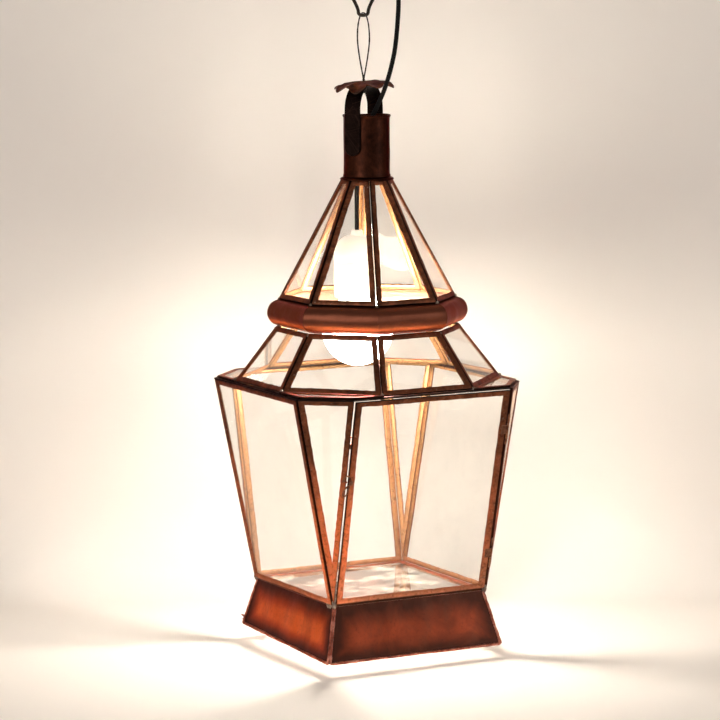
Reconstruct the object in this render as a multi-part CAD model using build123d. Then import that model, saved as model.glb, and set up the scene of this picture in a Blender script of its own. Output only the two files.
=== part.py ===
"""Hanging glass lantern: copper came frames round flat panes, on a chain and a lamp flex.

Lengths are millimetres. The lantern is drawn on its own axis, with Z up from the plinth's
foot, and every piece is moved at the end so that the origin is the middle of the ceiling
face, straight above the point that the lantern hangs from. The door is on the -Y side.
"""

import os
from math import atan2, cos, hypot, radians, sin, sqrt, tan

from build123d import *

# ---- driving dimensions ----
plinth_foot = 86.0          # half the plinth's width at its foot
plinth_high = 46.5
foot_front = -1.5           # height of the plinth's foot along its front, and along its back
foot_back = 4.4
floor_half = 74.5           # half the width of the floor, and of the body where it stands
floor_thick = 2.6
floor_came = 6.4
sheet = 1.0                 # thickness of the copper sheet
came_thick = 3.0            # depth of the U-shaped came that grips each pane
came_web = 1.0              # came outside the pane's edge
came_lip = 0.5              # each of the came's two flanges
pane_gap = 0.05             # glass to came, all round
body_top = 231.0
# The eight corners of the body's top, two to each wide side, from the front round by the right.
# The work is by hand: the sides are not quite equal.
top_corners = [(-72.8, -111.0), (80.0, -111.0), (106.7, -77.0), (106.7, 77.0),
               (77.0, 111.0), (-77.0, 111.0), (-111.0, 77.0), (-111.0, -81.0)]
stile_came = 5.6            # upright and level bars of a wide side
rail_came = 4.2
corner_stile = 4.8          # the same for the triangle at each corner
corner_rail = 3.8
door_gap = 0.8
rim_thick = 0.8
rim_inset = 6.0             # from the body's outline in to the rim's inner edge
shelf_thick = 2.2
shelf_came = 4.6
skirt_low = 115.5           # corner radii of the two glass roofs
skirt_high = 79.0
skirt_top = 279.0
skirt_came = 4.6
bolster_low = 281.3
bolster_high = 304.3
bolster_wall = 71.4
bolster_bulge = 10.5
cone_low = 76.0
cone_high = 20.0
cone_foot = 304.4
cone_top = 409.0
cone_came = 4.4
neck_radius = 20.4
neck_foot = 412.2
neck_top = 466.0
strap_wide = 15.0
strap_thick = 1.7
strap_turn = 35.0           # turn of the handle's plane about the axis, in degrees from +X
strap_offset = 2.6          # the handle's plane misses the axis by this much
strap_end = 431.0           # height of the lower ends of its two legs
rosette_radius = 27.0
rosette_high = 495.3
rosette_low = 489.8         # height of the tips of its petals
rosette_thick = 0.8
rosette_tilt = -4.0         # it sits a little askew, turned about Y
lamp_at = (-7.8, 4.2)       # the lampholder hangs a little off the axis
lamp_pivot = 409.7
grip_top = 422.0            # the flex comes out of the grip here
flex_radius = 2.0
link_wire = 1.5
link_low = 552.8            # centre of the chain link's wire at its lowest
link_high = 612.6
hook_wire = 2.2
loop_wire = 0.65
rose_foot = 646.0
ceiling = 670.0

# ---- places worked out from them ----
handle_plane = Plane(origin=(0, 0, 0), x_dir=(cos(radians(strap_turn)), sin(radians(strap_turn)), 0),
                     z_dir=(sin(radians(strap_turn)), -cos(radians(strap_turn)), 0))
hang = Vector(-sin(radians(strap_turn)), cos(radians(strap_turn)), 0) * strap_offset
pane_foot = plinth_high + 0.1 + floor_thick
rim_top = body_top + rim_thick
to_origin = Location((-hang.X, -hang.Y, -ceiling))
side_turn = radians(-28.3)  # direction in which the flex swings out from the chain


def export(name, *solids):
    """Write one sub-part, moved to the model's origin."""
    parts = [to_origin * solid for solid in solids]
    shape = parts[0] if len(parts) == 1 else Compound(children=parts)
    shape.label = name
    export_step(shape, f"parts/{name}.step")


def solid_of(shape):
    """The single solid in a shape that a boolean or a sweep has wrapped."""
    return shape.solids()[0]


def turned(shape, angle):
    return Rot(0, 0, angle) * shape


# ---- flat plates and glazed frames ----
def inset(points, margins):
    """A convex outline, drawn anticlockwise, moved inwards by one margin for each side."""
    count = len(points)
    lines = []
    for i in range(count):
        (x0, y0), (x1, y1) = points[i], points[(i + 1) % count]
        length = hypot(x1 - x0, y1 - y0)
        nx, ny = -(y1 - y0) / length, (x1 - x0) / length
        lines.append((nx, ny, nx * x0 + ny * y0 + margins[i]))
    corners = []
    for i in range(count):
        a0, b0, c0 = lines[i - 1]
        a1, b1, c1 = lines[i]
        det = a0 * b1 - a1 * b0
        corners.append(((c0 * b1 - c1 * b0) / det, (a0 * c1 - a1 * c0) / det))
    return corners


def slab(plane, points, low, high):
    """A plate over an outline in a plane, between two heights above that plane."""
    face = plane.offset(low) * make_face(Polyline(*points, close=True))
    return extrude(face, high - low, dir=plane.z_dir)


def pane_plane(corners):
    """The plane of a pane, whose corners run anticlockwise as seen from outside."""
    a, b, c = (Vector(*corner) for corner in (corners[0], corners[1], corners[-1]))
    return Plane(origin=a, x_dir=b - a, z_dir=(b - a).cross(c - a))


def glazed(corners, widths, margin=0.0, thick=came_thick):
    """A came frame, one width for each side, its depth outside the corners, and its pane."""
    plane = pane_plane(corners)
    flat = [plane.to_local_coords(Vector(*corner)) for corner in corners]
    sides = len(flat)
    outline = [(p.X, p.Y) for p in flat]
    if margin:
        outline = inset(outline, [margin] * sides)
    channel = slab(plane, outline, 0, thick)
    channel -= slab(plane, inset(outline, widths), -1, thick + 1)
    channel -= slab(plane, inset(outline, [came_web] * sides), came_lip, thick - came_lip)
    edge = came_web + pane_gap
    glass = slab(plane, inset(outline, [edge] * sides), came_lip + pane_gap,
                 thick - came_lip - pane_gap)
    return solid_of(channel), solid_of(glass)


def octagon_corner(radius, height, k):
    angle = radians(22.5 + 45 * k)
    return (radius * cos(angle), radius * sin(angle), height)


def glazed_tier(low_radius, low, high_radius, high, width):
    """The eight frames and eight panes of one sloping octagonal roof."""
    frames, panes = [], []
    for k in range(8):
        corners = [octagon_corner(low_radius, low, k), octagon_corner(low_radius, low, k + 1),
                   octagon_corner(high_radius, high, k + 1), octagon_corner(high_radius, high, k)]
        frame, glass = glazed(corners, [width] * 4)
        frames.append(frame)
        panes.append(glass)
    return frames, panes


# ---- plinth and floor ----
def frustum(foot, top, low, high):
    lower = Plane.XY.offset(low) * Rectangle(2 * foot, 2 * foot)
    upper = Plane.XY.offset(high) * Rectangle(2 * top, 2 * top)
    return loft([lower, upper])


def wedge(reach, half_angle, low, high):
    """A slice of the space round the axis, centred on +X."""
    y = reach * tan(radians(half_angle))
    return slab(Plane.XY, [(0, 0), (reach, -y), (reach, y)], low, high)


foot_slope = (foot_back - foot_front) / (2 * plinth_foot)
side_slope = (plinth_foot - floor_half) / plinth_high


def plinth_corner(lift, x_side, y_side):
    """Where a corner of the plinth meets the plane that lies a lift above its sloping foot."""
    middle = (foot_front + foot_back) / 2 + lift
    half = (plinth_foot - side_slope * middle) / (1 + side_slope * foot_slope * y_side)
    return Vector(x_side * half, y_side * half, middle + foot_slope * y_side * half)


def make_plinth():
    """Four trapezoid sheets, the beads soldered over their corners, and the rolled foot."""
    bead, below = 1.3, -8.0
    wide = plinth_foot - side_slope * below
    cutter = Plane(origin=(0, 0, (foot_front + foot_back) / 2 + 2 * bead), x_dir=(1, 0, 0),
                   z_dir=(0, -foot_slope, 1)) * Box(300, 300, 40, align=(Align.CENTER, Align.CENTER, Align.MAX))
    skin = frustum(wide, floor_half, below, plinth_high)
    skin -= frustum(wide - sheet, floor_half - sheet, below, plinth_high)
    skin -= cutter
    quarter = wedge(150, 45, -20, 60)
    panels = [solid_of(skin & turned(quarter, 90 * k)) for k in range(4)]

    inwards = bead / 2
    corners = []
    for x_side, y_side in ((-1, -1), (1, -1), (1, 1), (-1, 1)):
        corner = plinth_corner(bead, x_side, y_side)
        corners.append(corner - Vector(x_side * inwards, y_side * inwards, foot_slope * y_side * inwards))
    path = FilletPolyline(*corners, radius=5, close=True)
    rolled_foot = solid_of(sweep(Plane(origin=path @ 0, z_dir=path % 0) * Circle(bead), path=path))

    seam_radius, seams = 1.1, []
    keep_out = frustum(wide + 0.02, floor_half + 0.02, below, plinth_high)
    for x_side, y_side in ((-1, -1), (1, -1), (1, 1), (-1, 1)):
        low = plinth_corner(2 * bead + 0.6, x_side, y_side)
        high = Vector(x_side * floor_half, y_side * floor_half, plinth_high - 0.2)
        out = Vector(x_side, y_side, 0).normalized() * 0.9
        rod = Plane(origin=low + out, z_dir=high - low) * Cylinder(
            seam_radius, (high - low).length, align=(Align.CENTER, Align.CENTER, Align.MIN))
        seams.append(solid_of(rod - keep_out - rolled_foot))
    return panels, rolled_foot, seams


def make_floor():
    corners = [(*corner, plinth_high + 0.1) for corner in floor_corners]
    return glazed(corners, [floor_came] * 4, thick=floor_thick)


# ---- body ----
floor_corners = [(-floor_half, -floor_half), (floor_half, -floor_half),
                 (floor_half, floor_half), (-floor_half, floor_half)]


def wide_corners(k):
    """A wide side from its foot round to its top: 0 is the door's, then 1 to 3 anticlockwise."""
    return [(*floor_corners[k], pane_foot), (*floor_corners[(k + 1) % 4], pane_foot),
            (*top_corners[2 * k + 1], body_top), (*top_corners[2 * k], body_top)]


def narrow_corners(k):
    """The triangle, point down, at the far end of wide side k."""
    return [(*floor_corners[(k + 1) % 4], pane_foot), (*top_corners[(2 * k + 2) % 8], body_top),
            (*top_corners[2 * k + 1], body_top)]


def make_side(k, margin=0.0):
    return glazed(wide_corners(k), [rail_came, stile_came, rail_came, stile_came], margin)


def make_corner(k):
    return glazed(narrow_corners(k), [corner_stile, corner_rail, corner_stile])


def make_rim():
    """The flat plate round the body's top that the roof and the corner shelves stand on."""
    ring = slab(Plane.XY, inset(top_corners, [-came_thick] * 8), body_top, rim_top)
    ring -= slab(Plane.XY, inset(top_corners, [rim_inset] * 8), body_top - 1, rim_top + 1)
    return solid_of(ring)


def make_shelf(k):
    """The flat glazed shelf between the body and the roof, at the far end of wide side k."""
    roof_line = (skirt_low * cos(radians(22.5)) + came_thick) * sqrt(2)
    tangents = [(1, 0), (0, 1), (-1, 0), (0, -1)]
    ends = []
    for side, sign in ((k, 1), ((k + 1) % 4, -1)):
        tx, ty = tangents[side]
        x, y = top_corners[2 * side]
        reach = x * ty - y * tx
        along = sign * (roof_line - reach)
        ends.append((reach * ty + along * tx, -reach * tx + along * ty, rim_top))
    corners = [ends[0], (*top_corners[2 * k + 1], rim_top), (*top_corners[(2 * k + 2) % 8], rim_top), ends[1]]
    return glazed(corners, [shelf_came] * 4, thick=shelf_thick)


# ---- door furniture ----
edge_low = Vector(*wide_corners(0)[1])
edge_high = Vector(*wide_corners(0)[2])
edge_run = (edge_high - edge_low).normalized()
free_low = Vector(*wide_corners(0)[0])
free_run = (Vector(*wide_corners(0)[3]) - free_low).normalized()
door_normal = pane_plane(wide_corners(0)).z_dir
corner_normal = pane_plane(narrow_corners(0)).z_dir
free_normal = pane_plane(narrow_corners(3)).z_dir
knuckle_radius = 1.0           # the knuckles lie in the groove between the door and the corner
hinge_pin = 0.5
hinge_reach = 3.2              # hinge axis from the door's edge, half way between the two faces
hinge_foot = edge_low + (door_normal + corner_normal).normalized() * hinge_reach
hinge_spots = (34.0, 149.0)    # middles of the two hinges, up along the door's edge
knuckle_long = 8.0
knuckle_gap = 0.5
leaf_thick = 0.4
leaf_wide = 6.4


def knuckle(normal, inwards, start):
    """One rolled knuckle on the hinge axis, with the leaf that lies on the came."""
    place = Plane(origin=hinge_foot + edge_run * start, x_dir=inwards, z_dir=edge_run)
    side = 1 if place.y_dir.dot(normal) > 0 else -1
    roll = Cylinder(knuckle_radius, knuckle_long, align=(Align.CENTER, Align.CENTER, Align.MIN))
    face = came_thick + 0.03 - (hinge_foot - edge_low).dot(normal)
    leaf = Pos(0, side * (face + leaf_thick / 2), 0) * Box(
        leaf_wide, leaf_thick, knuckle_long, align=(Align.MIN, Align.CENTER, Align.MIN))
    bore = Cylinder(hinge_pin + 0.08, knuckle_long + 2)
    return solid_of(place * (roll + leaf - Pos(0, 0, knuckle_long / 2) * bore))


def make_hinges():
    """Two three-knuckle hinges: the outer knuckles fixed, the middle ones on the door."""
    into_door = edge_run.cross(door_normal) * -1
    into_door = into_door if into_door.X < 0 else into_door * -1
    into_corner = edge_run.cross(corner_normal)
    into_corner = into_corner if into_corner.dot(into_door) < 0 else into_corner * -1
    pitch = knuckle_long + knuckle_gap
    fixed, moving, pins = [], [], []
    for middle in hinge_spots:
        start = middle - knuckle_long / 2
        moving.append(knuckle(door_normal, into_door, start))
        fixed.append(knuckle(corner_normal, into_corner, start - pitch))
        fixed.append(knuckle(corner_normal, into_corner, start + pitch))
        long = 3 * knuckle_long + 2 * knuckle_gap + 1.0
        place = Plane(origin=hinge_foot + edge_run * (middle - long / 2), z_dir=edge_run)
        pin = Cylinder(hinge_pin, long, align=(Align.CENTER, Align.CENTER, Align.MIN))
        for end in (-0.4, long + 0.4):
            pin += Pos(0, 0, end) * Cylinder(0.85, 0.8)
        pins.append(solid_of(place * pin))
    return fixed, moving, pins


door_face = Plane(origin=(0, -floor_half, pane_foot), x_dir=(1, 0, 0), z_dir=door_normal)
latch_eye = (-71.2, 112.6)     # across and up the door's face
latch_wire = 0.65
latch_level = came_thick + 0.4 + latch_wire
catch_at = (-76.8, 114.6)
# The hook from the eye over the catch pin, and the pull ring below, from the middle of the eye.
hook_bend = [(-0.1, 1.5), (-1.6, 5.2), (-4.6, 6.0), (-8.2, 1.4)]
pull_bend = [(-0.9, -1.0), (-5.6, -5.0), (-7.4, -10.0), (-5.2, -12.4), (-2.0, -8.6)]
pull_radii = [0.7, 2.5, 1.6, 1.3, 2.5]


def make_latch(corner_frame):
    """A wire hook and pull ring on a rivet in the door, and the bare pin that it drops over."""
    level = door_face.offset(latch_level)
    x, y = latch_eye
    eye_radius = 1.5
    hook = level * (Pos(x, y, 0) * Torus(eye_radius, latch_wire))
    bend = level * Spline(*[(x + across, y + up) for across, up in hook_bend])
    hook += sweep(Plane(origin=bend @ 0, z_dir=bend % 0) * Circle(latch_wire), path=bend)
    hook += Plane(origin=bend @ 1) * Sphere(latch_wire)
    pull = [(x + across, y + up) for across, up in pull_bend]
    hook += bent_wire(level, pull, pull_radii, latch_wire, closed=True)

    shank = eye_radius - latch_wire - 0.08
    upright = (Align.CENTER, Align.CENTER, Align.MIN)
    rivet = Pos(x, y, came_thick) * Cylinder(shank, 2.0, align=upright)
    rivet += Pos(x, y, came_thick + 2.0) * Cylinder(1.6, 0.7, align=upright)
    catch = Pos(catch_at[0], catch_at[1], 0.2) * Cylinder(0.8, 6.0, align=upright)
    catch = max((door_face * catch - corner_frame).solids(), key=lambda piece: piece.volume)
    return solid_of(hook), solid_of(door_face * rivet), catch


def make_stop():
    """A bent tab with a window, behind the door's free edge and soldered inside the corner frame."""
    behind_door = free_run.cross(door_normal)
    behind_door = behind_door if behind_door.X > 0 else behind_door * -1
    along_corner = free_run.cross(free_normal)
    along_corner = along_corner if along_corner.dot(behind_door) < 0 else along_corner * -1
    section = Plane(origin=free_low + free_run * 142, x_dir=behind_door, z_dir=free_run)
    corner = (along_corner.dot(section.x_dir), along_corner.dot(section.y_dir))
    side = 1 if corner[1] > 0 else -1
    free, tab, lap, tall = 0.35, 6.0, 4.4, 11.2
    middle = atan2(abs(corner[1]), corner[0]) / 2
    grip = sheet / sin(middle)
    points = [(corner[0] * lap, abs(corner[1]) * lap),
              (corner[0] * lap + abs(corner[1]) * sheet, abs(corner[1]) * lap - corner[0] * sheet),
              (grip * cos(middle), grip * sin(middle) + free), (tab, sheet + free), (tab, free),
              (corner[0] * free / abs(corner[1]), free)]
    stop = slab(section, [(x, side * y) for x, y in points], 0, tall)
    window = slab(section, [(-2.4, -6), (tab + 1, -6), (tab + 1, 6), (-2.4, 6)], 4.6, tall - 1.1)
    return solid_of(stop - window)


# ---- bolster, neck and handle ----
def make_bolster():
    """Eight mitred lengths of half-round sheet that cover the joint between the roofs."""
    wall, low, high, bulge = bolster_wall, bolster_low, bolster_high, bolster_bulge
    middle = (low + high) / 2
    outer = make_face(ThreePointArc((wall, low), (wall + bulge, middle), (wall, high))
                      + Line((wall, high), (wall, low)))
    low_in, high_in = low + sheet, high - sheet
    inner = make_face(ThreePointArc((wall, low_in), (wall + bulge - sheet, middle), (wall, high_in))
                      + Line((wall, high_in), (wall, low_in)))
    flange = 4.0
    profile = outer - inner
    for height in (low + sheet / 2, high - sheet / 2):
        profile += Pos(wall - flange / 2 + 0.2, height) * Rectangle(flange + 0.4, sheet)
    length = extrude(Plane.XZ * profile, 60, both=True)
    piece = solid_of(length & wedge(120, 22.5, low - 5, high + 5))
    return [turned(piece, 45 * k) for k in range(8)]


def ring_of(points):
    """A solid of revolution about Z from its outline in radius and height."""
    return solid_of(revolve(Plane.XZ * make_face(Polyline(*points, close=True)), Axis.Z))


def make_neck():
    """The neck tube with its rolled lip, and the plate that joins it to the cone."""
    inner = neck_radius - sheet
    lip = neck_radius + 0.8
    tube = ring_of([(inner, neck_foot), (neck_radius + 0.6, neck_foot), (neck_radius + 0.6, neck_foot + 1.2),
                    (neck_radius, neck_foot + 2.2), (neck_radius, neck_top - 1.6), (lip, neck_top - 1.2),
                    (lip, neck_top), (inner, neck_top)])
    rim = neck_radius + 2.6
    collar = ring_of([(0, neck_foot - 1.5), (rim, neck_foot - 1.5), (rim, neck_foot), (0, neck_foot)])
    hole = Pos(lamp_at[0], lamp_at[1], neck_foot) * Cylinder(3.2, 6)
    return tube, solid_of(collar - hole)


arch_radius = neck_radius + 0.9 + strap_thick
arch_spring = 470.6


def make_handle():
    """The strap bent into an arch over the neck, with its legs soldered outside the tube."""
    def arch(radius):
        shape = make_face(
            Line((-radius, strap_end), (-radius, arch_spring))
            + ThreePointArc((-radius, arch_spring), (0, arch_spring + radius), (radius, arch_spring))
            + Line((radius, arch_spring), (radius, strap_end))
            + Line((radius, strap_end), (-radius, strap_end)))
        return shape
    band = arch(arch_radius) - arch(arch_radius - strap_thick)
    band -= Pos(0, strap_end - 1) * Rectangle(2 * arch_radius - 2 * strap_thick, 4)
    level = handle_plane.offset(-strap_offset)
    strap = extrude(level * band, strap_wide / 2, both=True)
    strap -= Pos(hang.X, hang.Y, arch_spring + arch_radius) * Cylinder(1.5, 8)
    return solid_of(strap)


def make_rosette():
    """The leaf-shaped washer that caps the handle, with eight drooping petals."""
    dome_high, rim_low, radius, thick = rosette_high, rosette_low, rosette_radius, rosette_thick
    points = [(1.7, dome_high), (10, dome_high - 0.8), (19, dome_high - 2.6), (radius, rim_low),
              (radius, rim_low + thick), (19, dome_high - 2.6 + thick), (10, dome_high - 0.8 + thick),
              (1.7, dome_high + thick)]
    dish = ring_of(points)
    notch_at, notch_radius = radius * 1.06, 4.6
    for k in range(8):
        dish -= Rot(0, 0, 45 * k) * (Pos(notch_at, 0, rim_low) * Cylinder(notch_radius, 20))
    tilt = Rot(0, rosette_tilt, 0)
    centre = Pos(0, 0, dome_high)
    return Pos(hang.X, hang.Y, 0) * solid_of(centre * tilt * (Pos(0, 0, -dome_high) * dish))


# ---- chain ----
def bent_wire(plane, points, radii, wire, closed=False):
    """A round wire bent along straight runs and tangent arcs in a plane."""
    path = plane * FilletPolyline(*points, radius=radii, close=closed)
    section = Plane(origin=path @ 0, z_dir=path % 0) * Circle(wire)
    return solid_of(sweep(section, path=path))


hang_across = Plane(origin=(hang.X, hang.Y, 0), x_dir=(1, 0, 0), z_dir=(0, -1, 0))
hang_along = Plane(origin=(hang.X, hang.Y, 0), x_dir=(0, 1, 0), z_dir=(1, 0, 0))


def make_link():
    """A chain link pinched to a narrow eye at each end, lying in the XZ plane."""
    eye, belly = 4.9, 15.5
    quarter = [(eye, 0.0), (eye, 6.2), (belly, 23.0)]
    right = [(x, link_low + z) for x, z in quarter] + [(x, link_high - z) for x, z in reversed(quarter)]
    left = [(-x, z) for x, z in reversed(right)]
    radii = [4.4, 4.5, 11.0, 11.0, 4.5, 4.4]
    return bent_wire(hang_across, right + left, radii + radii, link_wire, closed=True)


knot_top = arch_spring + arch_radius - strap_thick - 0.1


def make_loop():
    """The thin wire loop in the YZ plane, its twisted tail and the knot under the handle."""
    top = link_low + link_wire + loop_wire + 0.1
    half = [(5.0, top), (11.6, 541.0), (10.4, 522.0), (0.75, 499.0)]
    points = [(x, z) for x, z in reversed(half)] + [(-x, z) for x, z in half]
    loop = bent_wire(hang_along, points, [26, 30, 4.0, 4.0, 30, 26], loop_wire)
    tail_low = knot_top - 4.0
    tail = Pos(hang.X, hang.Y, tail_low) * Cylinder(
        1.25, 500.6 - tail_low, align=(Align.CENTER, Align.CENTER, Align.MIN))
    knot = Pos(hang.X, hang.Y, 0) * ring_of(
        [(0, knot_top), (1.9, knot_top), (2.6, knot_top - 1.6), (2.6, knot_top - 5.0), (1.4, knot_top - 7.2),
         (0, knot_top - 7.2)])
    return solid_of(loop + tail + knot)


saddle = link_high - link_wire - hook_wire - 0.1


def make_hook():
    """The threaded hook, open on one side, that the chain link hangs in."""
    reach, shoulder, tip_high = 9.5, saddle + 14.2, saddle + 10.4
    points = [(0, 664.0), (0, saddle + 21.2), (reach, shoulder), (reach, saddle), (-reach, saddle),
              (-reach, tip_high)]
    hook = bent_wire(hang_along, points, [6, 6, 9, 9], hook_wire)
    tip = hang_along.from_local_coords(Vector(-reach, tip_high, 0))
    return solid_of(hook + Pos(tip.X, tip.Y, tip.Z) * Sphere(hook_wire))


# ---- ceiling fitting ----
bracket_holes = 60.0           # distance between the two screw holes
bracket_screw = 2.25           # radius of each
rose_radius = 42.0


def flex_side(across, depth):
    """A place given across and behind the direction in which the flex swings out."""
    return Vector(across * cos(side_turn) - depth * sin(side_turn),
                  across * sin(side_turn) + depth * cos(side_turn), 0)


def make_ceiling():
    """The spun rose, the bracket it is hung from, the nuts, and the flex's bush and terminals."""
    at = Pos(hang.X, hang.Y, 0)
    rose = ring_of([(0, rose_foot), (30, rose_foot), (38, rose_foot + 5), (rose_radius, rose_foot + 13),
                    (rose_radius, ceiling), (rose_radius - 1.2, ceiling), (rose_radius - 1.2, rose_foot + 13.4),
                    (37.3, rose_foot + 6.1), (29.6, rose_foot + 1.2), (0, rose_foot + 1.2)])
    bush_hole = flex_route[-1]
    rose = at * (rose - Cylinder(hook_wire + 0.15, 2000))
    rose -= Pos(bush_hole.X, bush_hole.Y, rose_foot) * Cylinder(3.4, 8)

    wide, deck = 14.0, 655.0
    feet = [(-38, ceiling - 2), (-38, ceiling), (-20, ceiling), (-13, deck + 2), (13, deck + 2), (20, ceiling),
            (38, ceiling), (38, ceiling - 2), (21.2, ceiling - 2), (14.2, deck), (-14.2, deck),
            (-21.2, ceiling - 2)]
    bar = extrude(Plane.YZ * make_face(Polyline(*feet, close=True)), wide / 2, both=True)
    bar -= Cylinder(hook_wire + 0.15, 2000)
    for side in (-1, 1):
        bar -= Pos(0, side * bracket_holes / 2, ceiling) * Cylinder(bracket_screw, 12)

    nuts = []
    for low, tall in ((deck + 2.0, 3.2), (rose_foot - 3.4, 3.4)):
        nut = extrude(RegularPolygon(4.6, 6), tall) - Cylinder(hook_wire + 0.05, 20)
        nuts.append(solid_of(at * (Pos(0, 0, low) * nut)))

    bush = ring_of([(flex_radius + 0.05, rose_foot - 1.6), (4.6, rose_foot - 1.6), (4.6, rose_foot - 0.05),
                    (3.3, rose_foot - 0.05), (3.3, rose_foot + 1.25), (4.4, rose_foot + 1.25),
                    (4.4, rose_foot + 2.4), (flex_radius + 0.05, rose_foot + 2.4)])
    bush = Pos(bush_hole.X, bush_hole.Y, 0) * bush
    block = Pos(bush_hole.X, bush_hole.Y, bush_hole.Z) * Box(
        10, 15, 9, align=(Align.CENTER, Align.CENTER, Align.MIN))
    for side in (-1, 1):
        block -= Pos(bush_hole.X, bush_hole.Y + side * 3.6, bush_hole.Z + 9) * Cylinder(1.4, 6)
    return solid_of(rose), solid_of(at * bar), nuts, bush, solid_of(block)


# ---- lamp flex ----
# Route points across, behind and above: out of the grip, up through the neck's mouth, past
# the rosette, out beside the chain and in to the ceiling rose.
flex_places = [(-8.86, 0.0, grip_top), (-8.86, 0.0, 433.0), (-3.4, -5.6, 447.0), (5.3, -10.6, 461.0),
               (11.8, -15.0, 474.0), (18.9, -21.4, 490.5), (24.2, -24.0, 508.5), (28.2, -22.4, 527.5),
               (31.0, -16.0, 561.0), (30.5, -11.0, 581.0), (25.8, -4.4, 610.0), (22.5, -2.2, 633.0),
               (22.5, -2.2, 655.0)]
flex_route = [flex_side(across, depth) + Vector(0, 0, height) for across, depth, height in flex_places]
flex_cuts = (7, 9)             # the chain's joints are between these points and the next


def flex_points(first, last):
    """The route from one cut to the next: whole points, and the middle of each run that is cut."""
    points = list(flex_route[first:last + 1])
    if first > 0:
        points.insert(0, (flex_route[first - 1] + flex_route[first]) / 2)
    if last < len(flex_route) - 1:
        points.append((flex_route[last] + flex_route[last + 1]) / 2)
    return points


def corner_radii(points):
    """For each corner, 0.45 of its shorter run over the tangent of half its turn."""
    radii = []
    for before, here, after in zip(points, points[1:], points[2:]):
        run_in, run_out = here - before, after - here
        half_turn = radians(run_in.get_angle(run_out)) / 2
        radii.append(0.45 * min(run_in.length, run_out.length) / tan(half_turn))
    return radii


def make_flex():
    """The flex in three stretches, cut where the chain's own joints let it bend."""
    stretches, first = [], 0
    for last in (*flex_cuts, len(flex_route) - 1):
        points = flex_points(first, last)
        path = FilletPolyline(*points, radius=corner_radii(points))
        tube = solid_of(sweep(Plane(origin=path @ 0, z_dir=path % 0) * Circle(flex_radius), path=path))
        print(f"flex stretch {path.length:.1f} mm long")
        stretches.append(tube)
        first = last + 1
    return stretches


# ---- lamp ----
holder_low, holder_seam, holder_high = 305.0, 337.0, 364.5
bulb_centre, bulb_radius = 275.0, 31.0


def make_lamp():
    """The lampholder on its short lead, and the bulb screwed into it."""
    at = Pos(lamp_at[0], lamp_at[1], 0)
    bore = 13.4
    cap = revolve(Plane.XZ * make_face(
        Line((0, holder_seam), (20.4, holder_seam))
        + Line((20.4, holder_seam), (20.4, holder_seam + 5.5))
        + ThreePointArc((20.4, holder_seam + 5.5), (15.2, holder_seam + 17.2), (6.2, holder_seam + 22.6))
        + Line((6.2, holder_seam + 22.6), (5.0, holder_high))
        + Line((5.0, holder_high), (0, holder_high))
        + Line((0, holder_high), (0, holder_seam))), Axis.Z)
    cap -= Pos(0, 0, holder_seam) * Cylinder(17.4, 16)
    cap -= Pos(0, 0, holder_seam + 10) * Cylinder(11.0, 16)
    cap -= Pos(0, 0, holder_high) * Cylinder(flex_radius - 0.3, 30)
    shell = ring_of([(bore + 0.2, holder_low), (19.4, holder_low), (20.4, holder_low + 1.4), (20.4, holder_seam),
                     (bore + 0.2, holder_seam)])
    insert = ring_of([(0, holder_seam - 7.0), (bore, holder_seam - 7.0), (bore, holder_seam + 3.0),
                      (0, holder_seam + 3.0)])

    thread, turns, pitch = 13.2, 7, 3.6
    cap_low, cap_high = 303.4, holder_seam - 8.2
    outline = [(0, cap_low), (thread - 0.9, cap_low)]
    for turn in range(turns):
        low = cap_low + turn * (cap_high - cap_low - 1.0) / turns
        outline += [(thread - 0.9, low + 0.2), (thread, low + pitch * 0.42),
                    (thread - 0.9, low + pitch * 0.84)]
    outline += [(thread - 0.9, cap_high), (5.0, cap_high), (4.0, cap_high + 0.9), (0, cap_high + 0.9)]
    screw = ring_of(outline)

    def globe(radius, neck):
        join = bulb_centre + sqrt(radius ** 2 - (radius * 0.80) ** 2)
        return revolve(Plane.XZ * make_face(
            ThreePointArc((0, bulb_centre - radius), (radius, bulb_centre), (radius * 0.80, join))
            + Line((radius * 0.80, join), (neck, cap_low - 0.1))
            + Line((neck, cap_low - 0.1), (0, cap_low - 0.1))
            + Line((0, cap_low - 0.1), (0, bulb_centre - radius))), Axis.Z)
    glass = globe(bulb_radius, 14.6)
    glass -= Pos(0, 0, -0.9) * globe(bulb_radius - 1.0, 13.4)

    upright = (Align.CENTER, Align.CENTER, Align.MIN)
    lead = Pos(0, 0, holder_high) * Cylinder(flex_radius, lamp_pivot - holder_high, align=upright)
    lead += Pos(0, 0, lamp_pivot) * Sphere(flex_radius)
    grip = Pos(0, 0, neck_foot) * Cylinder(6.0, grip_top - neck_foot, align=upright)
    grip -= Pos(6.6, 0, neck_foot + 5) * Cylinder(1.6, 20)
    grip -= Pos(-6.6, 0, neck_foot + 5) * Cylinder(1.6, 20)
    return [solid_of(at * piece) for piece in (cap, shell, insert, screw, glass, lead, grip)]


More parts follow.
